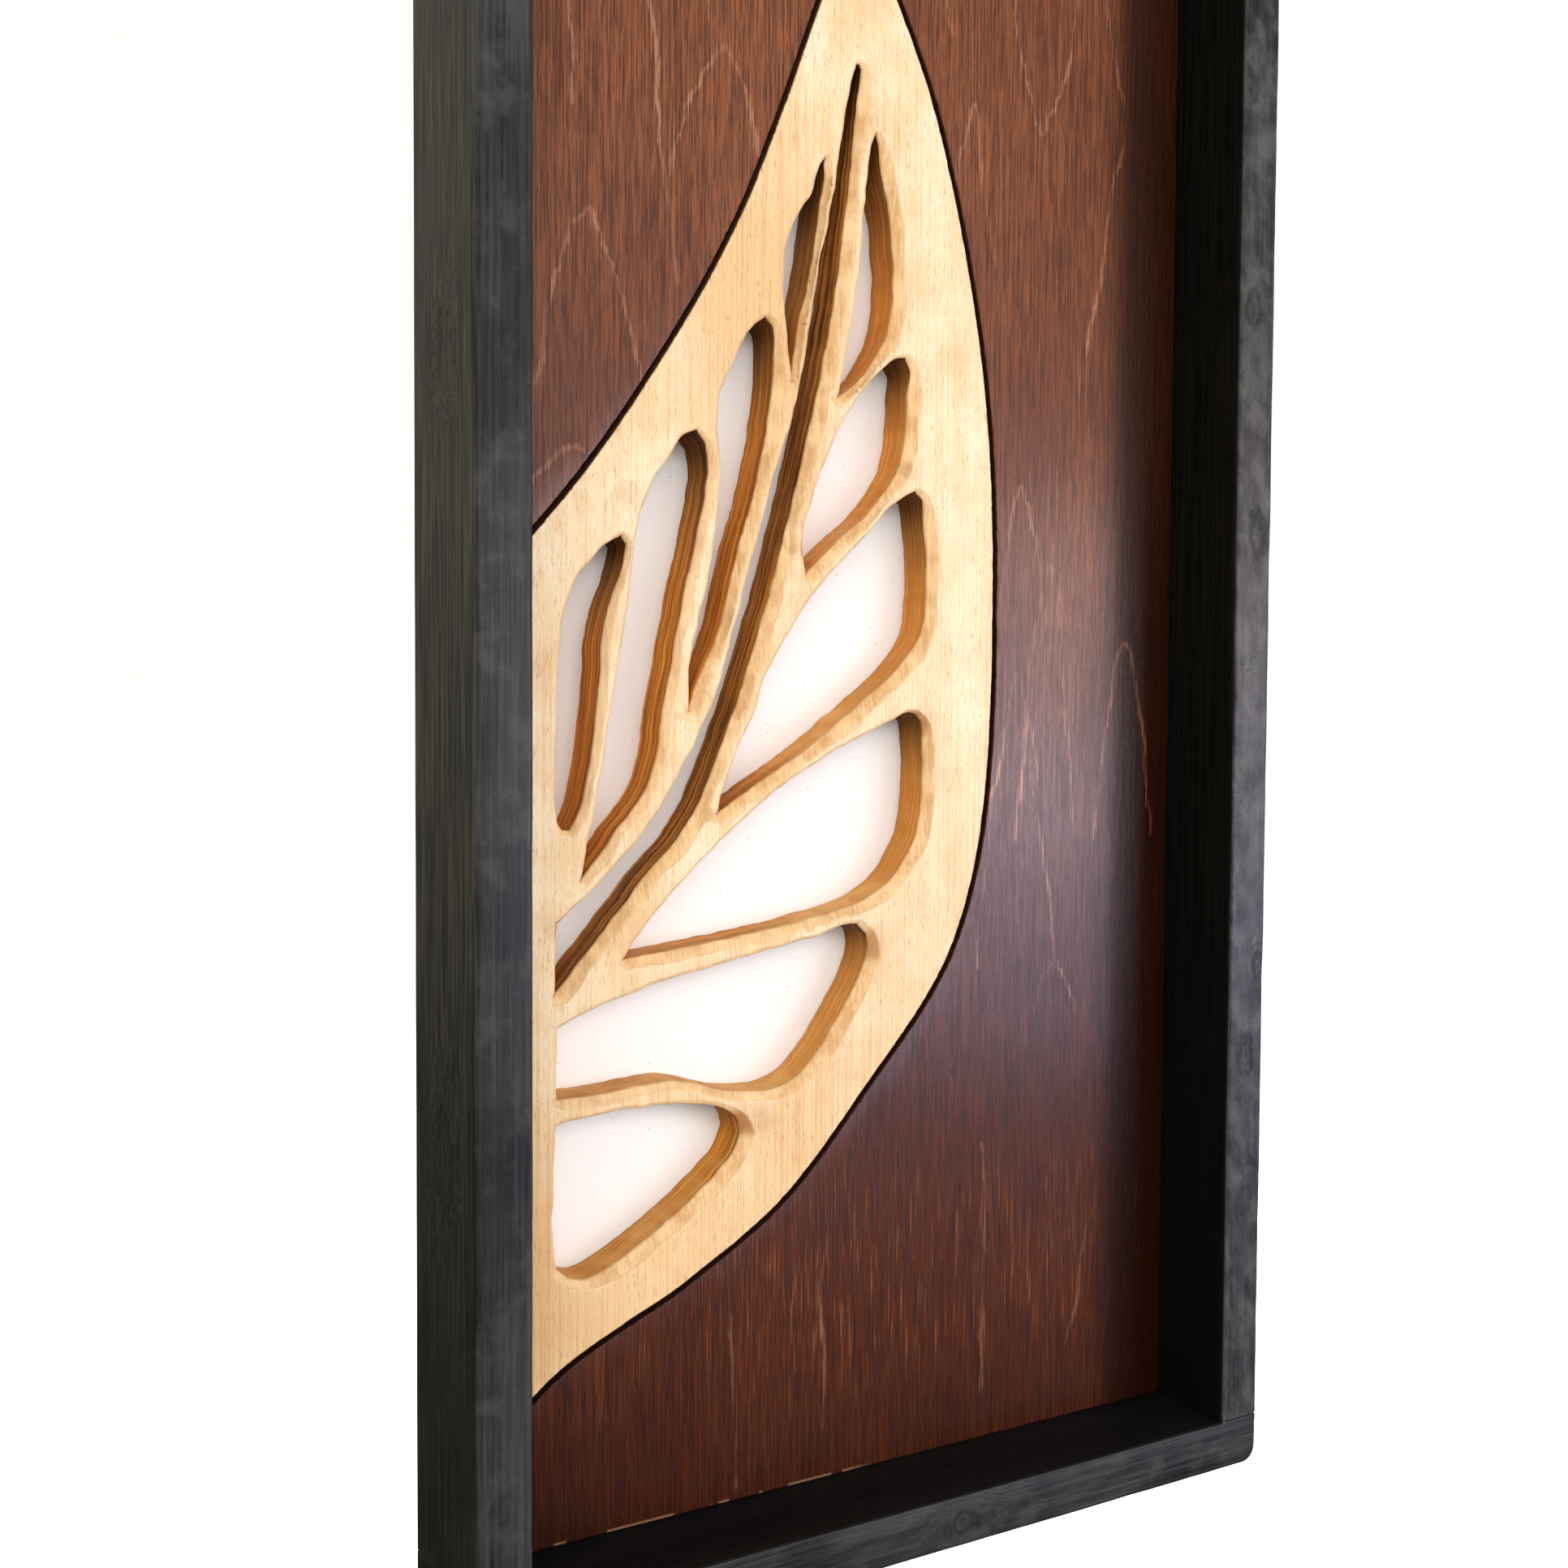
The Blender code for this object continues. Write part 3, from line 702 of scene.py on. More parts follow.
    # Painted shade: the walls of the narrow midrib channel are darkened, as little light gets in.
    channel = s.mask("channel") * s.between(wide, 0.3, 0.6, 0.95, 0.6)
    deepest = s.mask("shade") ** 1.3
    walls = s.mix(deepest * 0.85, walls, s.mix(layers, (0.025, 0.009, 0.002), (0.16, 0.055, 0.008)))
    walls = s.mix(
        channel,
        walls,
        s.ramp(
            layers, (0.0, (0.04, 0.012, 0.003)), (0.5, (0.16, 0.046, 0.005)), (1.0, (0.62, 0.24, 0.028))
        ),
    )
    color = s.mix(s.between(wall, 0.02, 0.5), color, walls)
    outer = s.mask("outer")
    color = s.mix(outer * s.between(wall, 0.0, 0.3), color, (0.1, 0.042, 0.024))
    rim = cut + (fine - 0.5) * 1.4
    color = s.mix(outer * s.between(rim, 0.5, 0.0, 0.0, 0.75), color, (0.13, 0.055, 0.026))
    rough = s.between(streak, 0.3, 0.8, 0.40, 0.58)
    grain = streak * 0.8 + fine * 0.5 - flecks * 0.5
    grain = grain + layers * wall * 1.2
    return s.finish(
        color, rough, grain, 0.00012, Specular_IOR_Level=s.between(wall, 0.1, 0.6, 0.45, 0.06)
    )


# Scorch marks on the wing: (x, z) and reach (x, z) in metres, and strength.
BURNS = [
    ((0.024, -0.033), (0.016, 0.013), 0.8),
    ((0.003, -0.118), (0.013, 0.012), 0.75),
    ((-0.050, -0.180), (0.026, 0.010), 0.85),
    ((-0.100, 0.045), (0.011, 0.009), 0.6),
    ((-0.128, -0.104), (0.008, 0.008), 0.6),
    ((0.018, 0.062), (0.010, 0.008), 0.5),
    ((-0.030, 0.030), (0.012, 0.007), 0.5),
]


def black_strip(name, along, knots, mottled):
    """Softwood under black stain, where the grain and knots still show. along is the grain's axis.

    A knot is its place, its radius, and the axis that it faces, in metres; axes are 0 for X to 2 for Z.
    mottled is how unevenly the stain was rubbed, from 0 to 1.
    """

    def waves(across, lengthwise):
        """A noise's waves to the metre, across the grain and along it."""
        return [lengthwise if k == along else across for k in range(3)]

    s = Shader(name)
    bends = []
    marks = []
    parts = s.axes()
    x, _, z = parts
    for spot, radius, axis in knots:
        squares = []
        for k in range(3):
            if k != axis:
                reach = radius * (2.0 if k == along else 1.0)
                squares.append(((parts[k] - spot[k]) / reach) ** 2.0)
        distance = s.math("SQRT", squares[0] + squares[1])
        uneven = s.noise((260, 260, 130), shift=(radius * 900, 1, 2))
        distance = distance + (uneven - 0.5) * 2.6
        bends.append(s.between(distance, 3.6, 0.4))
        swirl = s.between(abs(distance - 1.1), 0.8, 0.0)
        marks.append(s.most(swirl * 0.55, s.between(distance, 0.6, 0.0) * 0.4))
    bend = s.most(*bends)
    knot = s.most(*marks)
    # The grain runs round the knots.
    stretched = s.add("ShaderNodeVectorMath", operation="SCALE")
    pushed = s.fed(stretched, 0, Vector=s.place, Scale=bend * 0.07 + 1.0)
    streak = s.noise(waves(760, 16), detail=4, roughness=0.65, source=pushed)
    slow = s.noise(waves(60, 3), detail=2, shift=(2, 5, 1))
    cloud = s.noise((22, 22, 22), shift=(7, 1, 3))
    rotation = s.add("ShaderNodeVectorRotate", rotation_type="AXIS_ANGLE")
    aslant = s.fed(rotation, 0, Vector=s.place, Axis=(1, 0.4, 0), Angle=math.radians(38))
    scratch = s.noise(waves(240, 900), detail=2, roughness=0.8, source=aslant)
    worn = s.between(scratch, 0.6, 0.72) * s.between(cloud, 0.5, 0.66)
    tone = streak * 0.45 + slow * 0.3 + cloud * 0.35
    color = s.ramp(
        tone, (0.44, (0.0065, 0.007, 0.008)), (0.55, (0.017, 0.0175, 0.019)), (0.66, (0.04, 0.04, 0.04))
    )
    smudge = s.between(s.noise((70, 70, 70), detail=4, roughness=0.7, shift=(3, 3, 1)), 0.5, 0.68)
    color = s.mix(smudge * 0.35, color, (0.062, 0.062, 0.058))
    rubbed = s.noise(waves(120, 42), detail=4, roughness=0.6, shift=(9, 4, 6), source=aslant)
    color = s.mix(s.between(rubbed, 0.46, 0.66, 0.0, mottled), color, (0.105, 0.104, 0.098))
    matt = s.between(rubbed, 0.48, 0.34, 0.0, mottled)
    color = s.mix(matt, color, (0.006, 0.0062, 0.006))
    color = s.mix(bend * s.between(cloud, 0.4, 0.6, 0.05, 0.35), color, (0.045, 0.043, 0.038))
    color = s.mix(knot, color, (0.006, 0.006, 0.006))
    color = s.mix(worn * (0.2 + 0.3 * mottled), color, (0.07, 0.068, 0.062))
    # The stain has rubbed thin along the front's inner edges.
    arris = s.between(s.mask("cut"), 1.5, 0.5) * s.between(slow, 0.35, 0.6, 0.15, 0.5)
    arris = arris * s.between(abs(x), 0.1535, 0.1515)
    color = s.mix(arris, color, (0.085, 0.078, 0.066))
    sideways, _, _ = s.facing()
    side = s.between(abs(sideways), 0.6, 0.9)
    olive = s.mix(s.between(streak, 0.42, 0.60), (0.010, 0.0105, 0.0065), (0.056, 0.053, 0.033))
    # Painted shade: the side faces darken towards the foot.
    olive = s.mix(s.between(z, 0.02, -0.28, 0.0, 0.85), olive, (0.005, 0.0055, 0.004))
    color = s.mix(side * 0.8, color, olive)
    # Painted shade: the faces inside the frame, in the shade of the recess, are painted nearly black; they
    # are also dull.
    within = s.most(abs(x) - 0.1512, abs(z) - 0.3212)
    dull = s.between(within, 0.0, -0.0008)
    color = s.mix(dull * 0.9, color, (0.0028, 0.0028, 0.0028))
    low_side = s.most(side, s.between(x, -0.145, -0.152, 0.0, 0.5))
    dull = s.most(dull, low_side * s.between(z, 0.05, -0.28, 0.15, 0.75))
    rough = s.between(streak + cloud * 0.6, 0.5, 1.1, 0.3, 0.5)
    rough = rough + dull * 0.2
    grain = streak - worn * 0.8 - knot
    gloss = 0.5 - (dull * 0.42 + matt * 0.35 + knot * 0.3)
    return s.finish(color, rough, grain, 0.00018, Specular_IOR_Level=s.most(gloss, 0.06))


def painted_board():
    """Thin board: brushed white on the front, raw brown fibre behind."""
    s = Shader("painted_board")
    brush = s.noise((60, 60, 900))
    stroke = s.noise((500, 500, 14), shift=(3, 3, 3))
    cloud = s.noise((14, 14, 14), detail=2)
    white = s.mix(cloud, (0.76, 0.725, 0.705), (0.79, 0.77, 0.755))
    specks = s.dots((250, 250, 250), 0.1) * s.between(s.noise((90, 90, 90), detail=1), 0.54, 0.62)
    white = s.mix(specks * 0.7, white, (0.28, 0.21, 0.17))
    fibre = s.noise((1300, 1300, 1300), detail=4, roughness=0.7)
    mat = s.ramp(
        fibre, (0.32, (0.16, 0.085, 0.042)), (0.55, (0.27, 0.16, 0.085)), (0.72, (0.38, 0.25, 0.15))
    )
    _, y, _ = s.facing()
    behind = s.between(y, 0.3, 0.6)
    color = s.mix(behind, white, mat)
    height = brush * 0.3 + stroke * 0.4 + fibre * 0.4
    return s.finish(color, s.between(fibre, 0.3, 0.7, 0.5, 0.75), height, 0.00008)


def zinc():
    """Bright zinc plate with fine rolling scratches and dull cloudy patches."""
    s = Shader("zinc_plate")
    scratch = s.noise((900, 4000, 900), roughness=0.7)
    cloud = s.noise((260, 260, 260))
    color = s.ramp(cloud, (0.3, (0.46, 0.46, 0.44)), (0.7, (0.66, 0.67, 0.67)))
    rough = s.between(scratch + cloud, 0.7, 1.3, 0.24, 0.48)
    return s.finish(color, rough, scratch, 0.00003, Metallic=1.0)


def rubber():
    s = Shader("black_rubber")
    fine = s.noise((2500, 2500, 2500), detail=2)
    color = s.ramp(fine, (0.35, (0.012, 0.012, 0.013)), (0.7, (0.030, 0.029, 0.028)))
    return s.finish(color, s.between(fine, 0.3, 0.7, 0.62, 0.85), fine, 0.00005)


# ---- The wing ----

WALL_LEVELS = 10
WING_STEP = 1.2
# An opening that reaches above this height is one of the topmost, which run out in a point.
TOPMOST = 170.0
TAPER = 30.0
MIDRIB_LEFT_AT_TOP = 0.66
SLOT_LEFT_AT_TOP = 0.5
SHANK_HOLE_R = 1.8
CLEARANCE = 0.3


def screw_holes(prefix, count):
    """The blind holes behind the board screws: x, z, radius and depth from the board's back."""
    holes = []
    _, board_back = box_mm("stained_panel")
    for index in range(1, count + 1):
        low, high = box_mm(f"{prefix}_{index}")
        middle = (low + high) / 2
        holes.append((middle.x, middle.z, SHANK_HOLE_R, board_back.y - low.y + CLEARANCE))
    return holes


def pointed(loop, length, least):
    """Narrows an opening over a length below its top, where least of its width is left."""
    result = loop.copy()
    peak = loop[:, 1].max()
    ahead = np.roll(loop, -1, 0)
    for i in np.flatnonzero(loop[:, 1] > peak - length):
        x, z = loop[i]
        spans = ((loop[:, 1] - z) * (ahead[:, 1] - z) <= 0) & (loop[:, 1] != ahead[:, 1])
        share = (z - loop[spans, 1]) / (ahead[spans, 1] - loop[spans, 1])
        crossings = loop[spans, 0] + share * (ahead[spans, 0] - loop[spans, 0])
        middle = (crossings.min() + crossings.max()) / 2
        t = (peak - z) / length
        result[i, 0] = middle + (x - middle) * (least + (1 - least) * t * t * (3 - 2 * t))
    return result


def make_wing(material):
    low, high = box_mm("wing_fretwork")
    raw = front_loops("wing_fretwork")
    loops = [smooth_loop(loop, WING_STEP) for loop in raw]
    for k, loop in enumerate(loops[1:], start=1):
        if loop[:, 1].max() > TOPMOST:
            loops[k] = pointed(loop, TAPER, MIDRIB_LEFT_AT_TOP if k == 1 else SLOT_LEFT_AT_TOP)
    outline = loops[0]
    saw = 0.22 * np.abs(ripple(outline, 2.4, 40)) + 0.12 * np.abs(ripple(outline, 14.0, 41))
    saw[outline[:, 0] < low.x + 0.6] = 0
    whittled = [outline + inward(outline) * saw[:, None]]
    for k, loop in enumerate(loops[1:], start=1):
        wobble = 0.20 + 0.55 * ripple(loop, 10.0, k) + 0.30 * ripple(loop, 4.2, k + 20)
        wobble *= np.clip(room_around(loop) / 5.0, 0.15, 1.0)
        whittled.append(loop + inward(loop) * wobble[:, None])
    loops = whittled

    edge = Edge(loops, radius=0.30, back_radius=0.15)
    first = len(loops[0])
    tool = [np.zeros(len(loops[0]))]
    shade = [np.zeros(len(loops[0]))]
    for k, loop in enumerate(loops[1:], start=1):
        part = slice(first, first + len(loop))
        first += len(loop)
        into = unit(inward(loop))
        middle = loop.mean(0)
        right_side = middle[0] > low.x + 0.42 * (high.x - low.x) or middle[1] < -120
        wave = ripple(loop, 8.0, k + 60)
        toward = np.clip(np.maximum(into[:, 0], 0) + 0.62 * np.maximum(-into[:, 1], 0), 0, 1)
        below = loop[:, 1].max() - loop[:, 1]
        strength = toward * (1.0 if right_side else 0.55) * (0.3 + 0.7 * np.clip(below / 14, 0, 1))
        darkened = np.clip(0.3 * np.ptp(loop[:, 1]), 12, 45)
        if k > 1 and loop[:, 1].max() > TOPMOST:
            darkened = 95.0 if middle[0] < -15 else 60.0
        shade.append(np.clip(1.15 - below / darkened, 0, 1))
        edge.radius[part] = 0.55 + 0.2 * wave
        edge.bevel_width[part] = 1.3 + 3.8 * strength + (0.3 + strength) * ripple(loop, 12.0, k + 80)
        edge.bevel_depth[part] = 0.55 + 1.75 * strength + 0.35 * wave
        tool.append(0.45 + 0.55 * strength)
    tool = np.concatenate(tool)
    shade = np.concatenate(shade)

    def face(points, away):
        near_edge = np.clip(1 - away / 6.5, 0, 1)
        cuts = 0.42 * np.maximum(ripple(points, 6.0, 90), 0) + 0.16 * np.maximum(ripple(points, 2.6, 91), 0)
        return near_edge * cuts + 0.03 * (1 + ripple(points, 30.0, 92))

    def wall(points, into, share):
        deep = np.column_stack([points[:, 0], np.full(len(points), share * 18), points[:, 1]])
        blade = 0.10 * ripple(points, 1.9, 50) + 0.26 * ripple(deep, 8.0, 51)
        return (blade + 0.10 * ripple(deep, 3.0, 52)) * min(1.0, share * 3) + 0.05

    holes = screw_holes("wing_screw", 6)
    obj = board("wing_carving", loops, low.y, high.y, edge, 2.0, WALL_LEVELS, wall, face, holes)
    border = np.concatenate(loops)
    outer_count = len(loops[0])
    places = np.array([(v.co.x, v.co.z) for v in obj.data.vertices]) / MM
    index, _ = nearest(tree_of(border), places)
    on_outer = (index < outer_count) & (border[index, 0] > low.x + 0.6)
    in_channel = (index >= outer_count) & (index < outer_count + len(loops[1]))
    layers = {"tool": tool[index], "shade": shade[index], "outer": on_outer, "channel": in_channel}
    for title, values in layers.items():
        add_layer(obj.data, title, values)
    return settle(obj, "wing_fretwork", material)


def room_around(loop):
    """How wide the opening is at each of its border points: half the way across, in millimetres."""
    into = unit(inward(loop))
    result = []
    for spot, out in zip(loop, -into):
        gaps = loop - spot
        ahead = gaps @ out
        aside = np.abs(gaps[:, 0] * out[1] - gaps[:, 1] * out[0])
        facing = ahead[(ahead > 0.8) & (aside < 2.0)]
        result.append(facing.min() if len(facing) else 6.0)
    return np.array(result)


# The veneer's figure, in millimetres. Rotary-cut veneer shows pointed arches where the knife passed through
# a growth ring's crest, and long streaks where it ran along one.
# An arch is its middle x, its crest's z, half its width, and its drop, negative where it opens upward.
FIGURE_ARCHES = [
    (-115, 140, 20, 60),
    (-120, 60, 30, 35),
    (-135, 265, 15, 90),
    (-65, 205, 20, 50),
    (80, 200, 20, -80),
    (80, 290, 20, 25),
    (85, 30, 15, 110),
    (70, 60, 15, 70),
    (70, -15, 20, 115),
    (125, 0, 15, 80),
    (90, -130, 10, 20),
    (45, 205, 10, 70),
]
# A streak is its top's x and z, how far it drops, and how far it drifts to the right.
FIGURE_STREAKS = [
    (-110, 320, 200, 30),
    (-85, 320, 110, 15),
    (105, 320, 120, 15),
    (120, 200, 100, -20),
    (20, 300, 70, 15),
    (55, -200, 100, 0),
    (110, -235, 55, -10),
    (-60, -250, 65, 5),
    (-20, -235, 65, 0),
]
FIGURE_STEP = 1.1


def arch_points(x, crest, half_width, drop):
    """Points down both legs of an arch that is steep at its feet and pointed at its crest."""
    steps = round(2 * (abs(drop) + half_width) / FIGURE_STEP)
    across = np.linspace(-1, 1, steps)
    return np.column_stack([x + half_width * across, crest - drop * np.abs(across) ** 1.6])


def streak_points(x, top, drop, drift):
    down = np.linspace(0, 1, round(drop / FIGURE_STEP))
    return np.column_stack([x + drift * down, top - drop * down])


def figure_points():
    """Close points along the figure's lines, which waver and have small teeth up and down."""
    parts = [arch_points(*arch) for arch in FIGURE_ARCHES]
    parts += [streak_points(*streak) for streak in FIGURE_STREAKS]
    points = np.concatenate(parts)
    points[:, 0] += 3.0 * ripple(points, 26.0, 5)
    points[:, 1] += 2.2 * ripple(points * (1, 0.2), 1.7, 3)
    points[:, 0] += 0.9 * ripple(points, 7.0, 4)
    return points


def make_panel(material):
    low, high = box_mm("stained_panel")
    loops = [smooth_loop(loop, 1.5) for loop in front_loops("stained_panel")]
    shaved = []
    for k, loop in enumerate(loops):
        at_frame = (loop[:, 0] > high.x - 0.3) | (loop[:, 1] < low.z + 0.3) | (loop[:, 1] > high.z - 0.3)
        at_frame |= loop[:, 0] < low.x + 0.3
        chips = 0.38 * np.maximum(ripple(loop, 2.2, k), 0) + 0.12 * np.abs(ripple(loop, 12.0, k + 4))
        chips[at_frame] = 0.0
        shaved.append(loop + inward(loop) * chips[:, None])
    edge = Edge(shaved, radius=0.45, back_radius=0.15)
    lines = figure_points()
    marks = np.concatenate([lines, lines + (1.3, 0), lines - (1.3, 0), lines + (0, 1.6), lines - (0, 1.6)])
    holes = screw_holes("panel_screw", 8)
    obj = board("stained_sheet", shaved, low.y, high.y, edge, 8.0, 5, holes=holes, marks=marks)
    places = np.array([(v.co.x, v.co.z) for v in obj.data.vertices]) / MM
    _, away = nearest(tree_of(lines), places)
    add_layer(obj.data, "figure", np.minimum(away, 8.0))
    return settle(obj, "stained_panel", material)


# ---- The frame ----

CORNER_R = 7.0
# How far the edges are rounded: in the open, along a rail's inner edge, and where two strips meet.
ARRIS = 2.0
INNER_ARRIS = 1.1
JOINT_ARRIS = 0.12
# A stile stands on a rail's last stretch, which is this long.
STILE_FOOT = 20.6


def strip_loop(low, high, round_foot, round_top, step):
    """The outline of a strip, anticlockwise, with round outer corners where it is a rail."""
    feet = [(low.x, low.z, round_foot), (high.x, low.z, round_foot)]
    corners = feet + [(high.x, high.z, round_top), (low.x, high.z, round_top)]
    points = []
    for quarter, (x, z, rounded) in enumerate(corners):
        if not rounded:
            points.append((x, z))
            continue
        sx = 1 if quarter in (1, 2) else -1
        sz = 1 if quarter in (2, 3) else -1
        centre = (x - sx * CORNER_R, z - sz * CORNER_R)
        for k in range(9):
            angle = math.pi * (1 + 0.5 * quarter) + math.pi / 2 * k / 8
            points.append((centre[0] + CORNER_R * math.cos(angle), centre[1] + CORNER_R * math.sin(angle)))
    loop = []
    for a, b in zip(points, points[1:] + points[:1]):
        a, b = np.array(a), np.array(b)
        steps = max(1, round(np.linalg.norm(b - a) / step))
        loop += [a + (b - a) * k / steps for k in range(steps)]
    return np.array(loop)


def make_strip(node, piece, material, round_foot=False, round_top=False):
    low, high = box_mm(node)
    loop = strip_loop(low, high, round_foot, round_top, 3.0)
    upright = not (round_foot or round_top)
    if upright:
        joined = (loop[:, 1] < low.z + 0.1) | (loop[:, 1] > high.z - 0.1)
    else:
        joint_z = low.z if round_top else high.z
        joined = abs(loop[:, 1] - joint_z) < 0.1
    joined &= np.abs(loop[:, 0]) < cad_high.x / MM - 0.1
    worn = 1 + 0.22 * ripple(loop, 23.0, low.x) + 0.10 * ripple(loop, 7.0, high.z)
    radius = np.where(joined, JOINT_ARRIS, ARRIS * worn)
    if not upright:
        inner_edge = joined & (np.abs(loop[:, 0]) < high.x - STILE_FOOT)
        radius[inner_edge] = INNER_ARRIS
    edge = Edge([loop], radius=radius, back_radius=np.where(joined, 0.25, ARRIS * 0.8))
    bow = 0.10 * (1 + ripple(loop, 60.0, low.z))
    bow[joined] = 0.0
    loop = loop + inward(loop) * bow[:, None]

    def wall(points, into, share):
        deep = np.column_stack([points[:, 0], np.full(len(points), share * 56), points[:, 1]])
        shift = 0.09 * (1 + ripple(deep, 16.0, high.x)) * math.sin(math.pi * share)
        shift[joined] = 0.0
        return shift

    def face(points, away):
        return 0.05 * (1 + ripple(points, 18.0, low.x + low.z))

    obj = board(piece, [loop], low.y, high.y, edge, 4.0, 14, wall, face)
    return settle(obj, node, material)


# ---- Screws, hangers and bumpers ----

STRAP_T = 1.2 * MM
STRAP_HOLE_R = 2.1 * MM
WIRE_R = 1.25 * MM
WIRE_BEND_R = 1.6 * MM


def turned(name, profile, segments):
    """A closed solid turned about -Z from (radius, z) points, in metres, that start and end on the axis."""
    bm = bmesh.new()
    rings = []
    for radius, z in profile:
        if radius == 0:
            rings.append([bm.verts.new((0, 0, z))])
            continue
        ring = []
        for k in range(segments):
            angle = 2 * math.pi * k / segments
            ring.append(bm.verts.new((radius * math.cos(angle), radius * math.sin(angle), z)))
        rings.append(ring)
    for lower, upper in zip(rings, rings[1:]):
        for k in range(segments):
            corners = [lower[k % len(lower)], lower[(k + 1) % len(lower)]]
            corners += [upper[(k + 1) % len(upper)], upper[k % len(upper)]]
            bm.faces.new(list(dict.fromkeys(corners)))
    return mesh_object(name, bm)


def cross_cutter(size, top, depth):
    """Two crossed blades that narrow downwards, as a star-shaped solid."""
    bm = bmesh.new()
    for turn in (0, math.pi / 2):
        blade = []
        for z, share in ((top, 1.25), (-depth, 0.45)):
            half = size * share
            thin = size * 0.24
            corners = []
            for x, y in ((-half, -thin), (half, -thin), (half, thin), (-half, thin)):
                spot = Matrix.Rotation(turn, 3, "Z") @ Vector((x, y, z))
                corners.append(bm.verts.new(spot))
            blade.append(corners)
        tube(bm, blade)
    return mesh_object("cross", bm)


def cut_away(obj, *cutters, crossed=False):
    """Takes the cutters out of the object for good, and removes them."""
    for cutter in cutters:
        modifier = obj.modifiers.new("cut", "BOOLEAN")
        modifier.operation = "DIFFERENCE"
        modifier.solver = "EXACT"
        modifier.use_self = crossed
        modifier.object = cutter
    graph = bpy.context.evaluated_depsgraph_get()
    mesh = bpy.data.meshes.new_from_object(obj.evaluated_get(graph), depsgraph=graph)
    obj.modifiers.clear()
    old = obj.data
    obj.data = mesh
    bpy.data.meshes.remove(old)
    for cutter in cutters:
        bpy.data.objects.remove(cutter)
    return obj


def screw_mesh(head_r, head_h, shank_r, length, domed):
    """A screw that points down -Z, with its head's seat or top at z = 0."""
    if domed:
        dome = ((0, 1), (0.45, 0.95), (0.8, 0.68), (1, 0.22), (1, 0))
        head = [(head_r * across, head_h * up) for across, up in dome]
        neck = [(shank_r, 0)]
        top = head_h
    else:
        head = [(0, 0), (head_r * 0.97, 0), (head_r, -0.12 * MM)]
        neck = [(shank_r, -head_h)]
        top = 0.0
    foot = [(shank_r, -length + 3 * shank_r), (0, -length)]
    obj = turned("screw_blank", head + neck + foot, 28)
    cutter = cross_cutter(head_r * 0.5, top + 0.5 * MM, -top + 1.1 * MM)
    cut_away(obj, cutter, crossed=True)
    mesh = obj.data
    soften(mesh, 35)
    bpy.data.objects.remove(obj)
    return mesh


def place_screw(node, mesh, direction, seat, material, turn):
    """One screw in its CAD place. direction points into the wood, and seat is where its z = 0 lies."""
    obj = new_object(node + "_steel", mesh.copy())
    quaternion = (-Vector(direction)).to_track_quat("Z", "Y")
    spin = Matrix.Rotation(turn, 4, "Z")
    obj.data.transform(Matrix.Translation(seat) @ quaternion.to_matrix().to_4x4() @ spin)
    return settle(obj, node, material)


def make_screws(material):
    # The head's radius and height and the shank's radius in millimetres, and whether the head is proud.
    kinds = {
        "corner_screw": (4.0, 3.0, 2.0, False),
        "panel_screw": (3.2, 2.2, 1.5, False),
        "wing_screw": (3.2, 2.2, 1.5, False),
        "hanger_screw": (3.0, 1.6, 1.5, True),
    }
    for kind, (head_r, head_h, shank_r, domed) in kinds.items():
        names = sorted(n for n in NODES if n.startswith(kind))
        axis = 2 if kind == "corner_screw" else 1
        low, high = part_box(names[0])
        length = high[axis] - low[axis]
        if domed:
            length -= head_h * MM
        mesh = screw_mesh(head_r * MM, head_h * MM, shank_r * MM, length, domed)
        for index, node in enumerate(names):
            low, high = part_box(node)
            seat = (low + high) / 2
            direction = Vector((0, 0, 0))
            outward = 1 if axis == 1 or seat.z > 0 else -1
            direction[axis] = -outward
            seat[axis] = high[axis] if outward > 0 else low[axis]
            if domed:
                seat[axis] -= head_h * MM
            place_screw(node, mesh, direction, seat, material, 0.7 * index + 0.3)


def make_hangers(material):
    for side in ("left", "right"):
        plate = f"hanger_plate_{side}"
        ring = f"hanger_ring_{side}"
        low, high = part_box(plate)
        joint = next(j for j in frame["joints"] if j["child"] == f"ring_{side}")
        pivot = Vector(joint["pos_m"])
        make_plate(plate, low, high, pivot, material)
        make_ring(ring, pivot, f"ring_{side}", material)


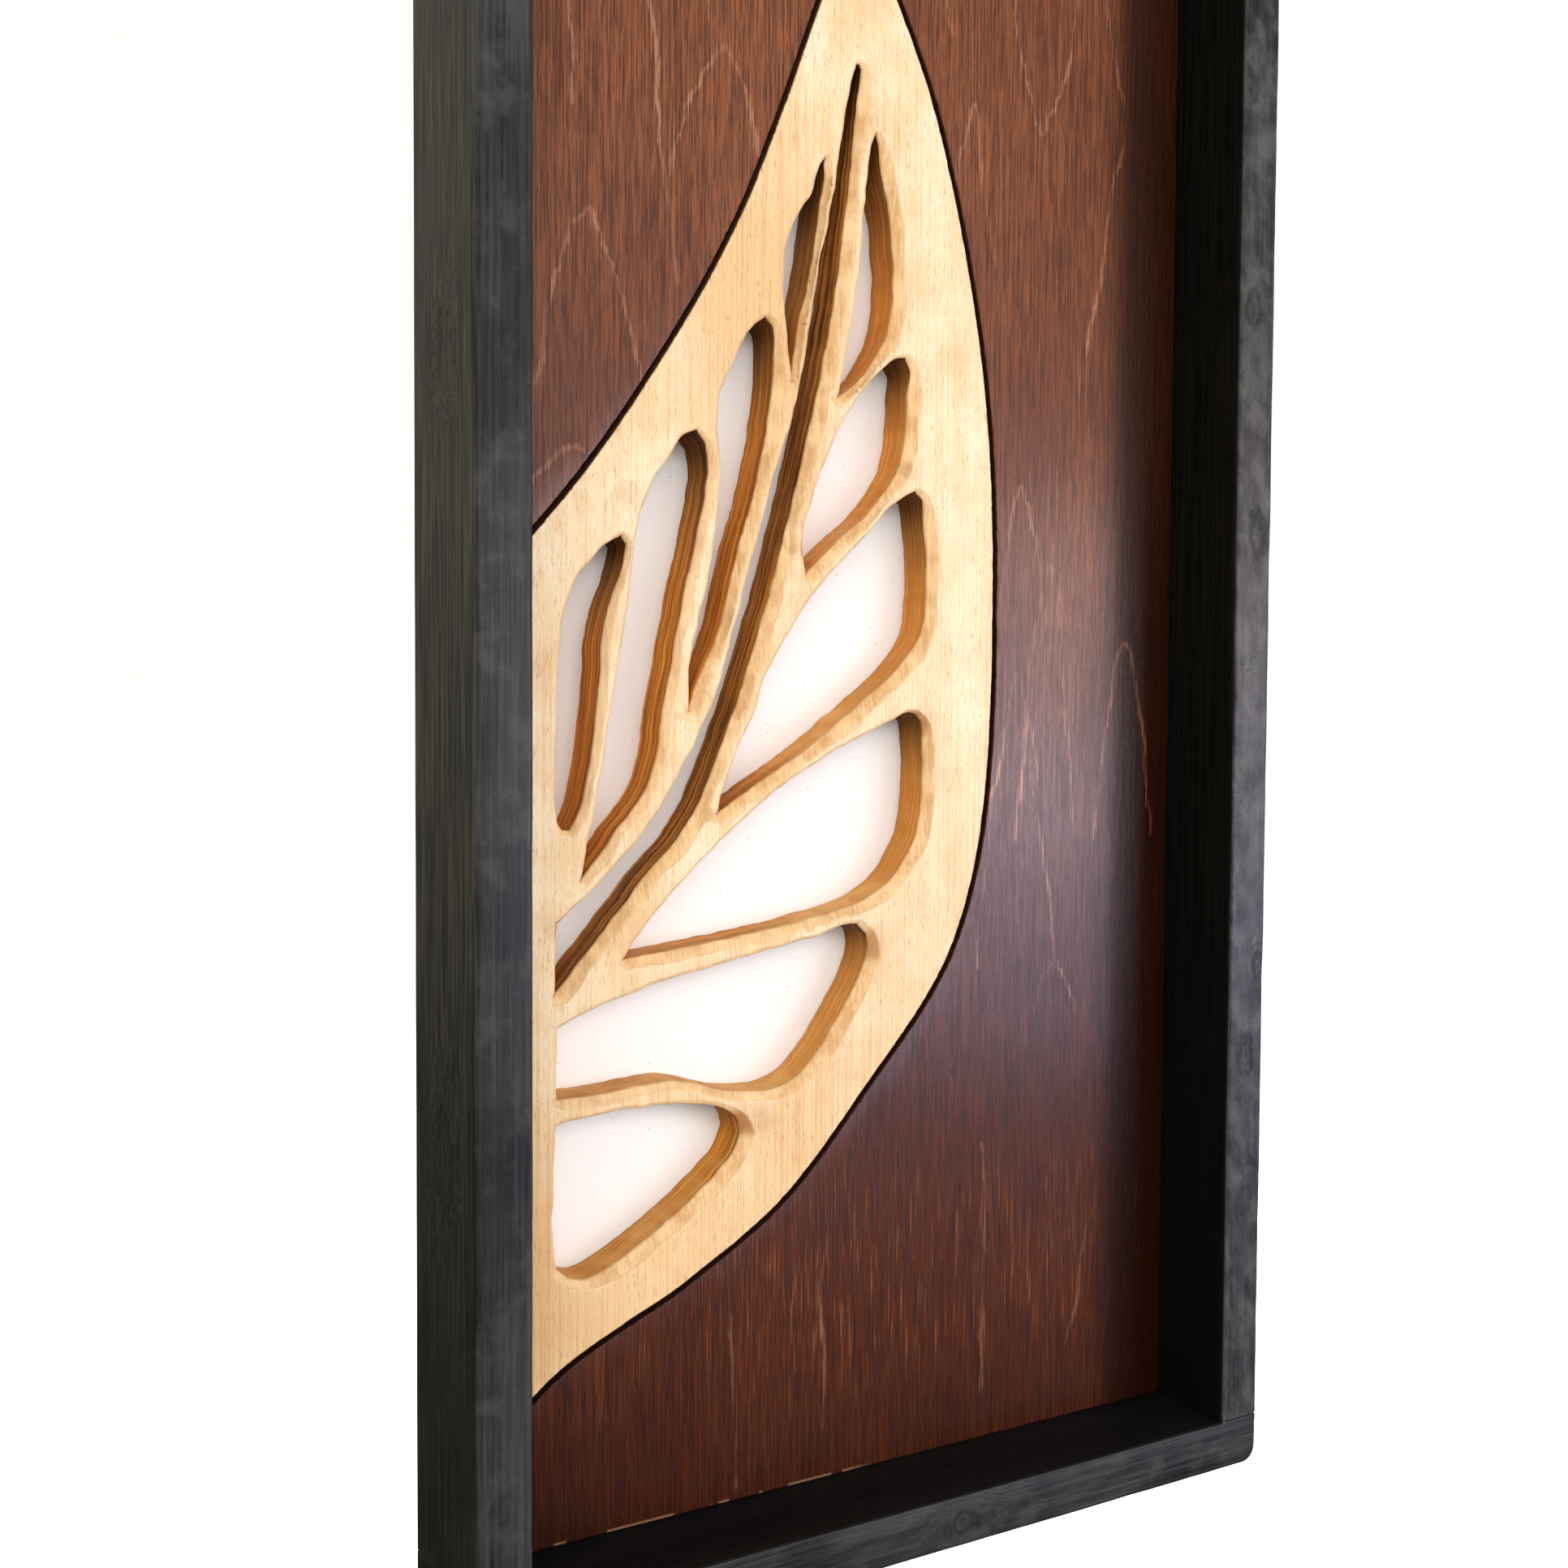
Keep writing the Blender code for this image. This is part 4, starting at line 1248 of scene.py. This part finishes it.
def make_plate(node, low, high, pivot, material):
    """A strap with a round foot, curled round the ring's bar at the top, and drilled for its screws."""
    half_t = STRAP_T / 2
    curl = high.y - pivot.y - half_t
    first, last = math.radians(-95), math.radians(180)
    steps = 26
    angles = [first + (last - first) * k / steps for k in range(steps + 1)]
    centre = [(curl * math.cos(a), curl * math.sin(a)) for a in angles]
    length = pivot.z - low.z
    straight = 22
    centre += [(-curl, -length * k / straight) for k in range(1, straight + 1)]
    half_w = (high.x - low.x) / 2
    bevel = 0.25 * MM
    bm = bmesh.new()
    rings = []
    for i, (y, z) in enumerate(centre):
        before, after = Vector(centre[max(i - 1, 0)]), Vector(centre[min(i + 1, len(centre) - 1)])
        along = (after - before).normalized()
        across = Vector((along.y, -along.x))
        from_end = abs(z + length)
        narrow = half_w
        if i > steps and from_end < half_w:
            narrow = max(math.sqrt(max(half_w**2 - (half_w - from_end) ** 2, 0)), STRAP_T)
        inset = half_t - bevel
        corner = [(narrow - bevel, -half_t), (narrow, -inset), (narrow, inset), (narrow - bevel, half_t)]
        section = corner + [(-x, t) for x, t in reversed(corner)]
        ring = []
        for x, t in section:
            ring.append(bm.verts.new((pivot.x + x, pivot.y + y + across.x * t, pivot.z + z + across.y * t)))
        rings.append(ring)
    tube(bm, rings)
    obj = mesh_object(node + "_strap", bm)
    side = node.rsplit("_", 1)[1]
    for index in (1, 2):
        s_low, s_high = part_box(f"hanger_screw_{side}_{index}")
        centre = ((s_low.x + s_high.x) / 2, 0.9 * MM, (s_low.z + s_high.z) / 2)
        through = 4 * MM
        profile = [(0, -through), (STRAP_HOLE_R, -through), (STRAP_HOLE_R, through), (0, through)]
        hole = turned("hole", profile, 24)
        hole.data.transform(Matrix.Translation(centre) @ Matrix.Rotation(math.pi / 2, 4, "X"))
        cut_away(obj, hole)
    soften(obj.data, 35)
    settle(obj, node, material)


def make_ring(node, pivot, body, material):
    """Round wire bent into a D, hanging from its straight bar."""
    low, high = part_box(node)
    half = (high.x - low.x) / 2 - WIRE_R
    drop = pivot.z - low.z - WIRE_R - half
    path = []
    for k in range(7):
        angle = math.pi / 2 * k / 6
        across, up = half + WIRE_BEND_R * (math.sin(angle) - 1), WIRE_BEND_R * (math.cos(angle) - 1)
        path.append((across, up))
    for k in range(29):
        angle = math.pi * k / 28
        path.append((half * math.cos(angle), -drop - half * math.sin(angle)))
    path += [(-x, z) for x, z in reversed(path[:7])]
    path += [(half * share, 0) for share in (-0.5, -0.25, 0.0, 0.25, 0.5)]
    bm = bmesh.new()
    rings = []
    sides = 18
    upright = Vector((0, 1, 0))
    path = [Vector((x, 0, z)) for x, z in path]
    for i, here in enumerate(path):
        along = (path[(i + 1) % len(path)] - path[i - 1]).normalized()
        across = along.cross(upright)
        ring = []
        for k in range(sides):
            angle = 2 * math.pi * k / sides
            out = across * math.cos(angle) + upright * math.sin(angle)
            ring.append(bm.verts.new(pivot + here + WIRE_R * out))
        rings.append(ring)
    tube(bm, rings, closed=True)
    obj = mesh_object(node + "_wire", bm)
    obj.data.shade_smooth()
    settle(obj, node, material, body)


def make_bumpers(material):
    for side in ("left", "right"):
        node = f"bumper_{side}"
        low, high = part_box(node)
        radius = (high.x - low.x) / 2
        tall = high.y - low.y
        profile = [(0, 0), (radius * 0.96, 0), (radius, 0.1 * tall)]
        for k in range(1, 9):
            angle = math.pi / 2 * k / 8
            across, up = 0.45 + 0.55 * math.cos(angle), 0.25 + 0.75 * math.sin(angle)
            profile.append((radius * across, tall * up))
        profile += [(radius * 0.2, tall), (0, tall)]
        obj = turned(node + "_dome", profile, 40)
        centre = Vector(((low.x + high.x) / 2, low.y, (low.z + high.z) / 2))
        obj.data.transform(Matrix.Translation(centre) @ Matrix.Rotation(-math.pi / 2, 4, "X"))
        obj.data.shade_smooth()
        settle(obj, node, material)


def sink_corner_screws(piece, level):
    """Countersinks in a rail's outer edge for its four screws."""
    cutters = []
    for node in sorted(n for n in NODES if n.startswith("corner_screw_" + level)):
        low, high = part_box(node)
        up = 1 if level == "top" else -1
        face = high.z if up > 0 else low.z
        gap = CLEARANCE * MM
        head, shank, deep = 4.0 * MM + gap, 2.0 * MM + gap, -26 * MM
        profile = [(0, MM), (head, MM), (head, -0.1 * MM), (shank, -3.2 * MM), (shank, deep), (0, deep)]
        cutter = turned("sink", profile, 28)
        turn = Matrix.Identity(4) if up > 0 else Matrix.Rotation(math.pi, 4, "X")
        cutter.data.transform(Matrix.Translation(((low.x + high.x) / 2, (low.y + high.y) / 2, face)) @ turn)
        cutters.append(cutter)
    materials = list(piece.data.materials)
    cut_away(piece, *cutters)
    if not piece.data.materials:
        piece.data.materials.append(materials[0])


# ---- Scene ----

# How far the floor lies below the panel, which hangs.
FLOOR_DROP = 0.26
CAMERA_PLACE = Vector((-0.34836, -0.55925, -0.03155))
CAMERA_YAW = math.radians(30.075)
CAMERA_PITCH = math.radians(2.279)
CAMERA_ROLL = math.radians(0.34)
CAMERA_LENS = 38.76


def make_camera():
    """A camera close to the front, to the left of the middle, as the object was seen."""
    data = bpy.data.cameras.new("camera")
    data.lens = CAMERA_LENS
    data.sensor_width = 36
    data.clip_start = 0.01
    camera = new_object("camera", data)
    level = Vector((math.sin(CAMERA_YAW), math.cos(CAMERA_YAW), 0))
    right = Vector((math.cos(CAMERA_YAW), -math.sin(CAMERA_YAW), 0))
    up = Vector((0, 0, 1))
    ahead = level * math.cos(CAMERA_PITCH) - up * math.sin(CAMERA_PITCH)
    upward = up * math.cos(CAMERA_PITCH) + level * math.sin(CAMERA_PITCH)
    across = right * math.cos(CAMERA_ROLL) + upward * math.sin(CAMERA_ROLL)
    upright = upward * math.cos(CAMERA_ROLL) - right * math.sin(CAMERA_ROLL)
    turn = Matrix((across, upright, -ahead)).transposed().to_4x4()
    camera.matrix_world = Matrix.Translation(CAMERA_PLACE) @ turn
    bpy.context.scene.camera = camera


def area_light(name, azimuth, elevation, distance, size, power, color, glossy):
    """A soft box aimed at the object. Azimuth 0 is straight in front, and 90 is on its right."""
    data = bpy.data.lights.new(name, "AREA")
    data.shape = "RECTANGLE"
    data.size, data.size_y = size
    data.energy = power
    data.color = color
    light = new_object(name, data)
    a, e = math.radians(azimuth), math.radians(elevation)
    toward = Vector((math.sin(a) * math.cos(e), -math.cos(a) * math.cos(e), math.sin(e)))
    light.location = toward * distance
    light.rotation_mode = "QUATERNION"
    light.rotation_quaternion = toward.to_track_quat("Z", "Y")
    light.visible_glossy = glossy
    light.visible_camera = False


# The room's own light, below and above: what falls on things, and what glossy things mirror.
ROOM_LOW = (0.26, 0.25, 0.235)
ROOM_HIGH = (0.36, 0.36, 0.36)
MIRRORED_LOW = (0.0, 0.0, 0.0)
MIRRORED_HIGH = (0.33, 0.30, 0.28)
# The colour that the camera sees behind the object and on the floor.
PALE = (1.0, 0.997, 0.98)
# Each light's name, its azimuth, elevation and distance, its size, power and colour, and if it is mirrored.
LIGHTS = [
    ("window", (41, 0.5, 2.4), (1.8, 0.62), 14.8, (1.0, 0.84, 0.86), True),
    ("cool_window", (42, -8.5, 2.1), (1.5, 0.5), 7.4, (0.52, 0.66, 1.0), True),
    ("right_box", (30, 6, 2.2), (1.7, 1.4), 14, (1.0, 0.985, 0.96), False),
    ("front_box", (-4, 12, 2.2), (1.3, 1.2), 25.5, (1.0, 0.98, 0.95), False),
    ("left_box", (-42, 10, 2.2), (1.5, 1.6), 22, (1.0, 0.96, 0.9), False),
    ("side_box", (-95, 12, 2.2), (1.4, 1.4), 22, (1.0, 0.97, 0.92), False),
    ("back_box", (180, 35, 2.4), (1.8, 1.4), 60, (1.0, 0.98, 0.96), False),
]


def make_lights():
    for name, placed, size, power, color, glossy in LIGHTS:
        area_light(name, *placed, size, power, color, glossy)
    world = bpy.data.worlds.new("studio")
    bpy.context.scene.world = world
    world.use_nodes = True
    w = Nodes(world.node_tree)
    path = w.add("ShaderNodeLightPath")
    room = sky(w, ROOM_LOW, ROOM_HIGH)
    mirrored = sky(w, MIRRORED_LOW, MIRRORED_HIGH)
    pale = w.fed(w.add("ShaderNodeBackground"), 0, Color=PALE, Strength=1.0)
    lit = choice(w, path.outputs["Is Glossy Ray"], room, mirrored)
    seen = choice(w, path.outputs["Is Camera Ray"], lit, pale)
    w.plug(w.tree.nodes["World Output"].inputs["Surface"], seen)


def sky(w, low, high):
    """A background that runs from one colour below to another above."""
    place = Value(w, w.add("ShaderNodeTexCoord").outputs["Generated"])
    up = w.fed(w.add("ShaderNodeSeparateXYZ"), "Z", Vector=place)
    share = w.fed(w.add("ShaderNodeMapRange"), "Result", Value=up, From_Min=-0.5, From_Max=0.5)
    return w.fed(w.add("ShaderNodeBackground"), 0, Color=w.mix(share, low, high))


def choice(w, share, one, other):
    """One shader where the share is 0, and the other where it is 1."""
    node = w.add("ShaderNodeMixShader")
    for socket, value in zip(node.inputs, (Value(w, share), one, other)):
        w.plug(socket, value)
    return Value(w, node.outputs[0])


def make_floor():
    """A floor that only the camera sees."""
    half = 60.0
    z = cad_low.z - FLOOR_DROP
    mesh = bpy.data.meshes.new("floor")
    corners = ((-half, -half, z), (half, -half, z), (half, half, z), (-half, half, z))
    mesh.from_pydata(corners, [], [(0, 1, 2, 3)])
    floor = new_object("floor", mesh)
    s = Shader("pale_floor")
    tone = s.mix(s.noise((30, 30, 30), detail=2), (0.9, 0.895, 0.885), (0.882, 0.8771, 0.8673))
    pale = s.finish(tone, 0.8, Emission_Color=PALE, Emission_Strength=0.72)
    mesh.materials.append(pale)
    floor.visible_glossy = False
    floor.visible_diffuse = False
    floor.visible_shadow = False


def main():
    scene = bpy.context.scene
    scene.view_settings.view_transform = "Standard"
    make_camera()
    make_lights()
    make_floor()

    metal = zinc()
    make_wing(wing_ply())
    make_panel(stained_ply())
    left_knots = [((-0.17, -0.032, 0.086), 0.0045, 0), ((-0.17, -0.030, -0.177), 0.006, 0)]
    right_knots = [
        ((0.158, -0.06, 0.134), 0.0030, 1),
        ((0.162, -0.06, 0.045), 0.0032, 1),
        ((0.166, -0.06, -0.133), 0.0022, 1),
        ((0.160, -0.06, -0.169), 0.0030, 1),
    ]
    make_strip("left_stile", "left_stile_strip", black_strip("black_left", 2, left_knots, 0.04))
    make_strip("right_stile", "right_stile_strip", black_strip("black_right", 2, right_knots, 0.38))
    rail_knots = [((0.02, -0.06, -0.331), 0.003, 1), ((-0.09, -0.06, 0.331), 0.0035, 1)]
    rail_wood = black_strip("black_rail", 0, rail_knots, 0.1)
    foot = make_strip("bottom_rail", "bottom_rail_strip", rail_wood, round_foot=True)
    head = make_strip("top_rail", "top_rail_strip", rail_wood, round_top=True)
    sink_corner_screws(foot, "bottom")
    sink_corner_screws(head, "top")
    make_screws(metal)
    make_hangers(metal)
    make_bumpers(rubber())
    board_paint = painted_board()
    for node, obj in NODES.items():
        if obj.hide_render:
            continue
        obj.data.materials.clear()
        obj.data.materials.append(board_paint if node == "backboard" else metal)


main()
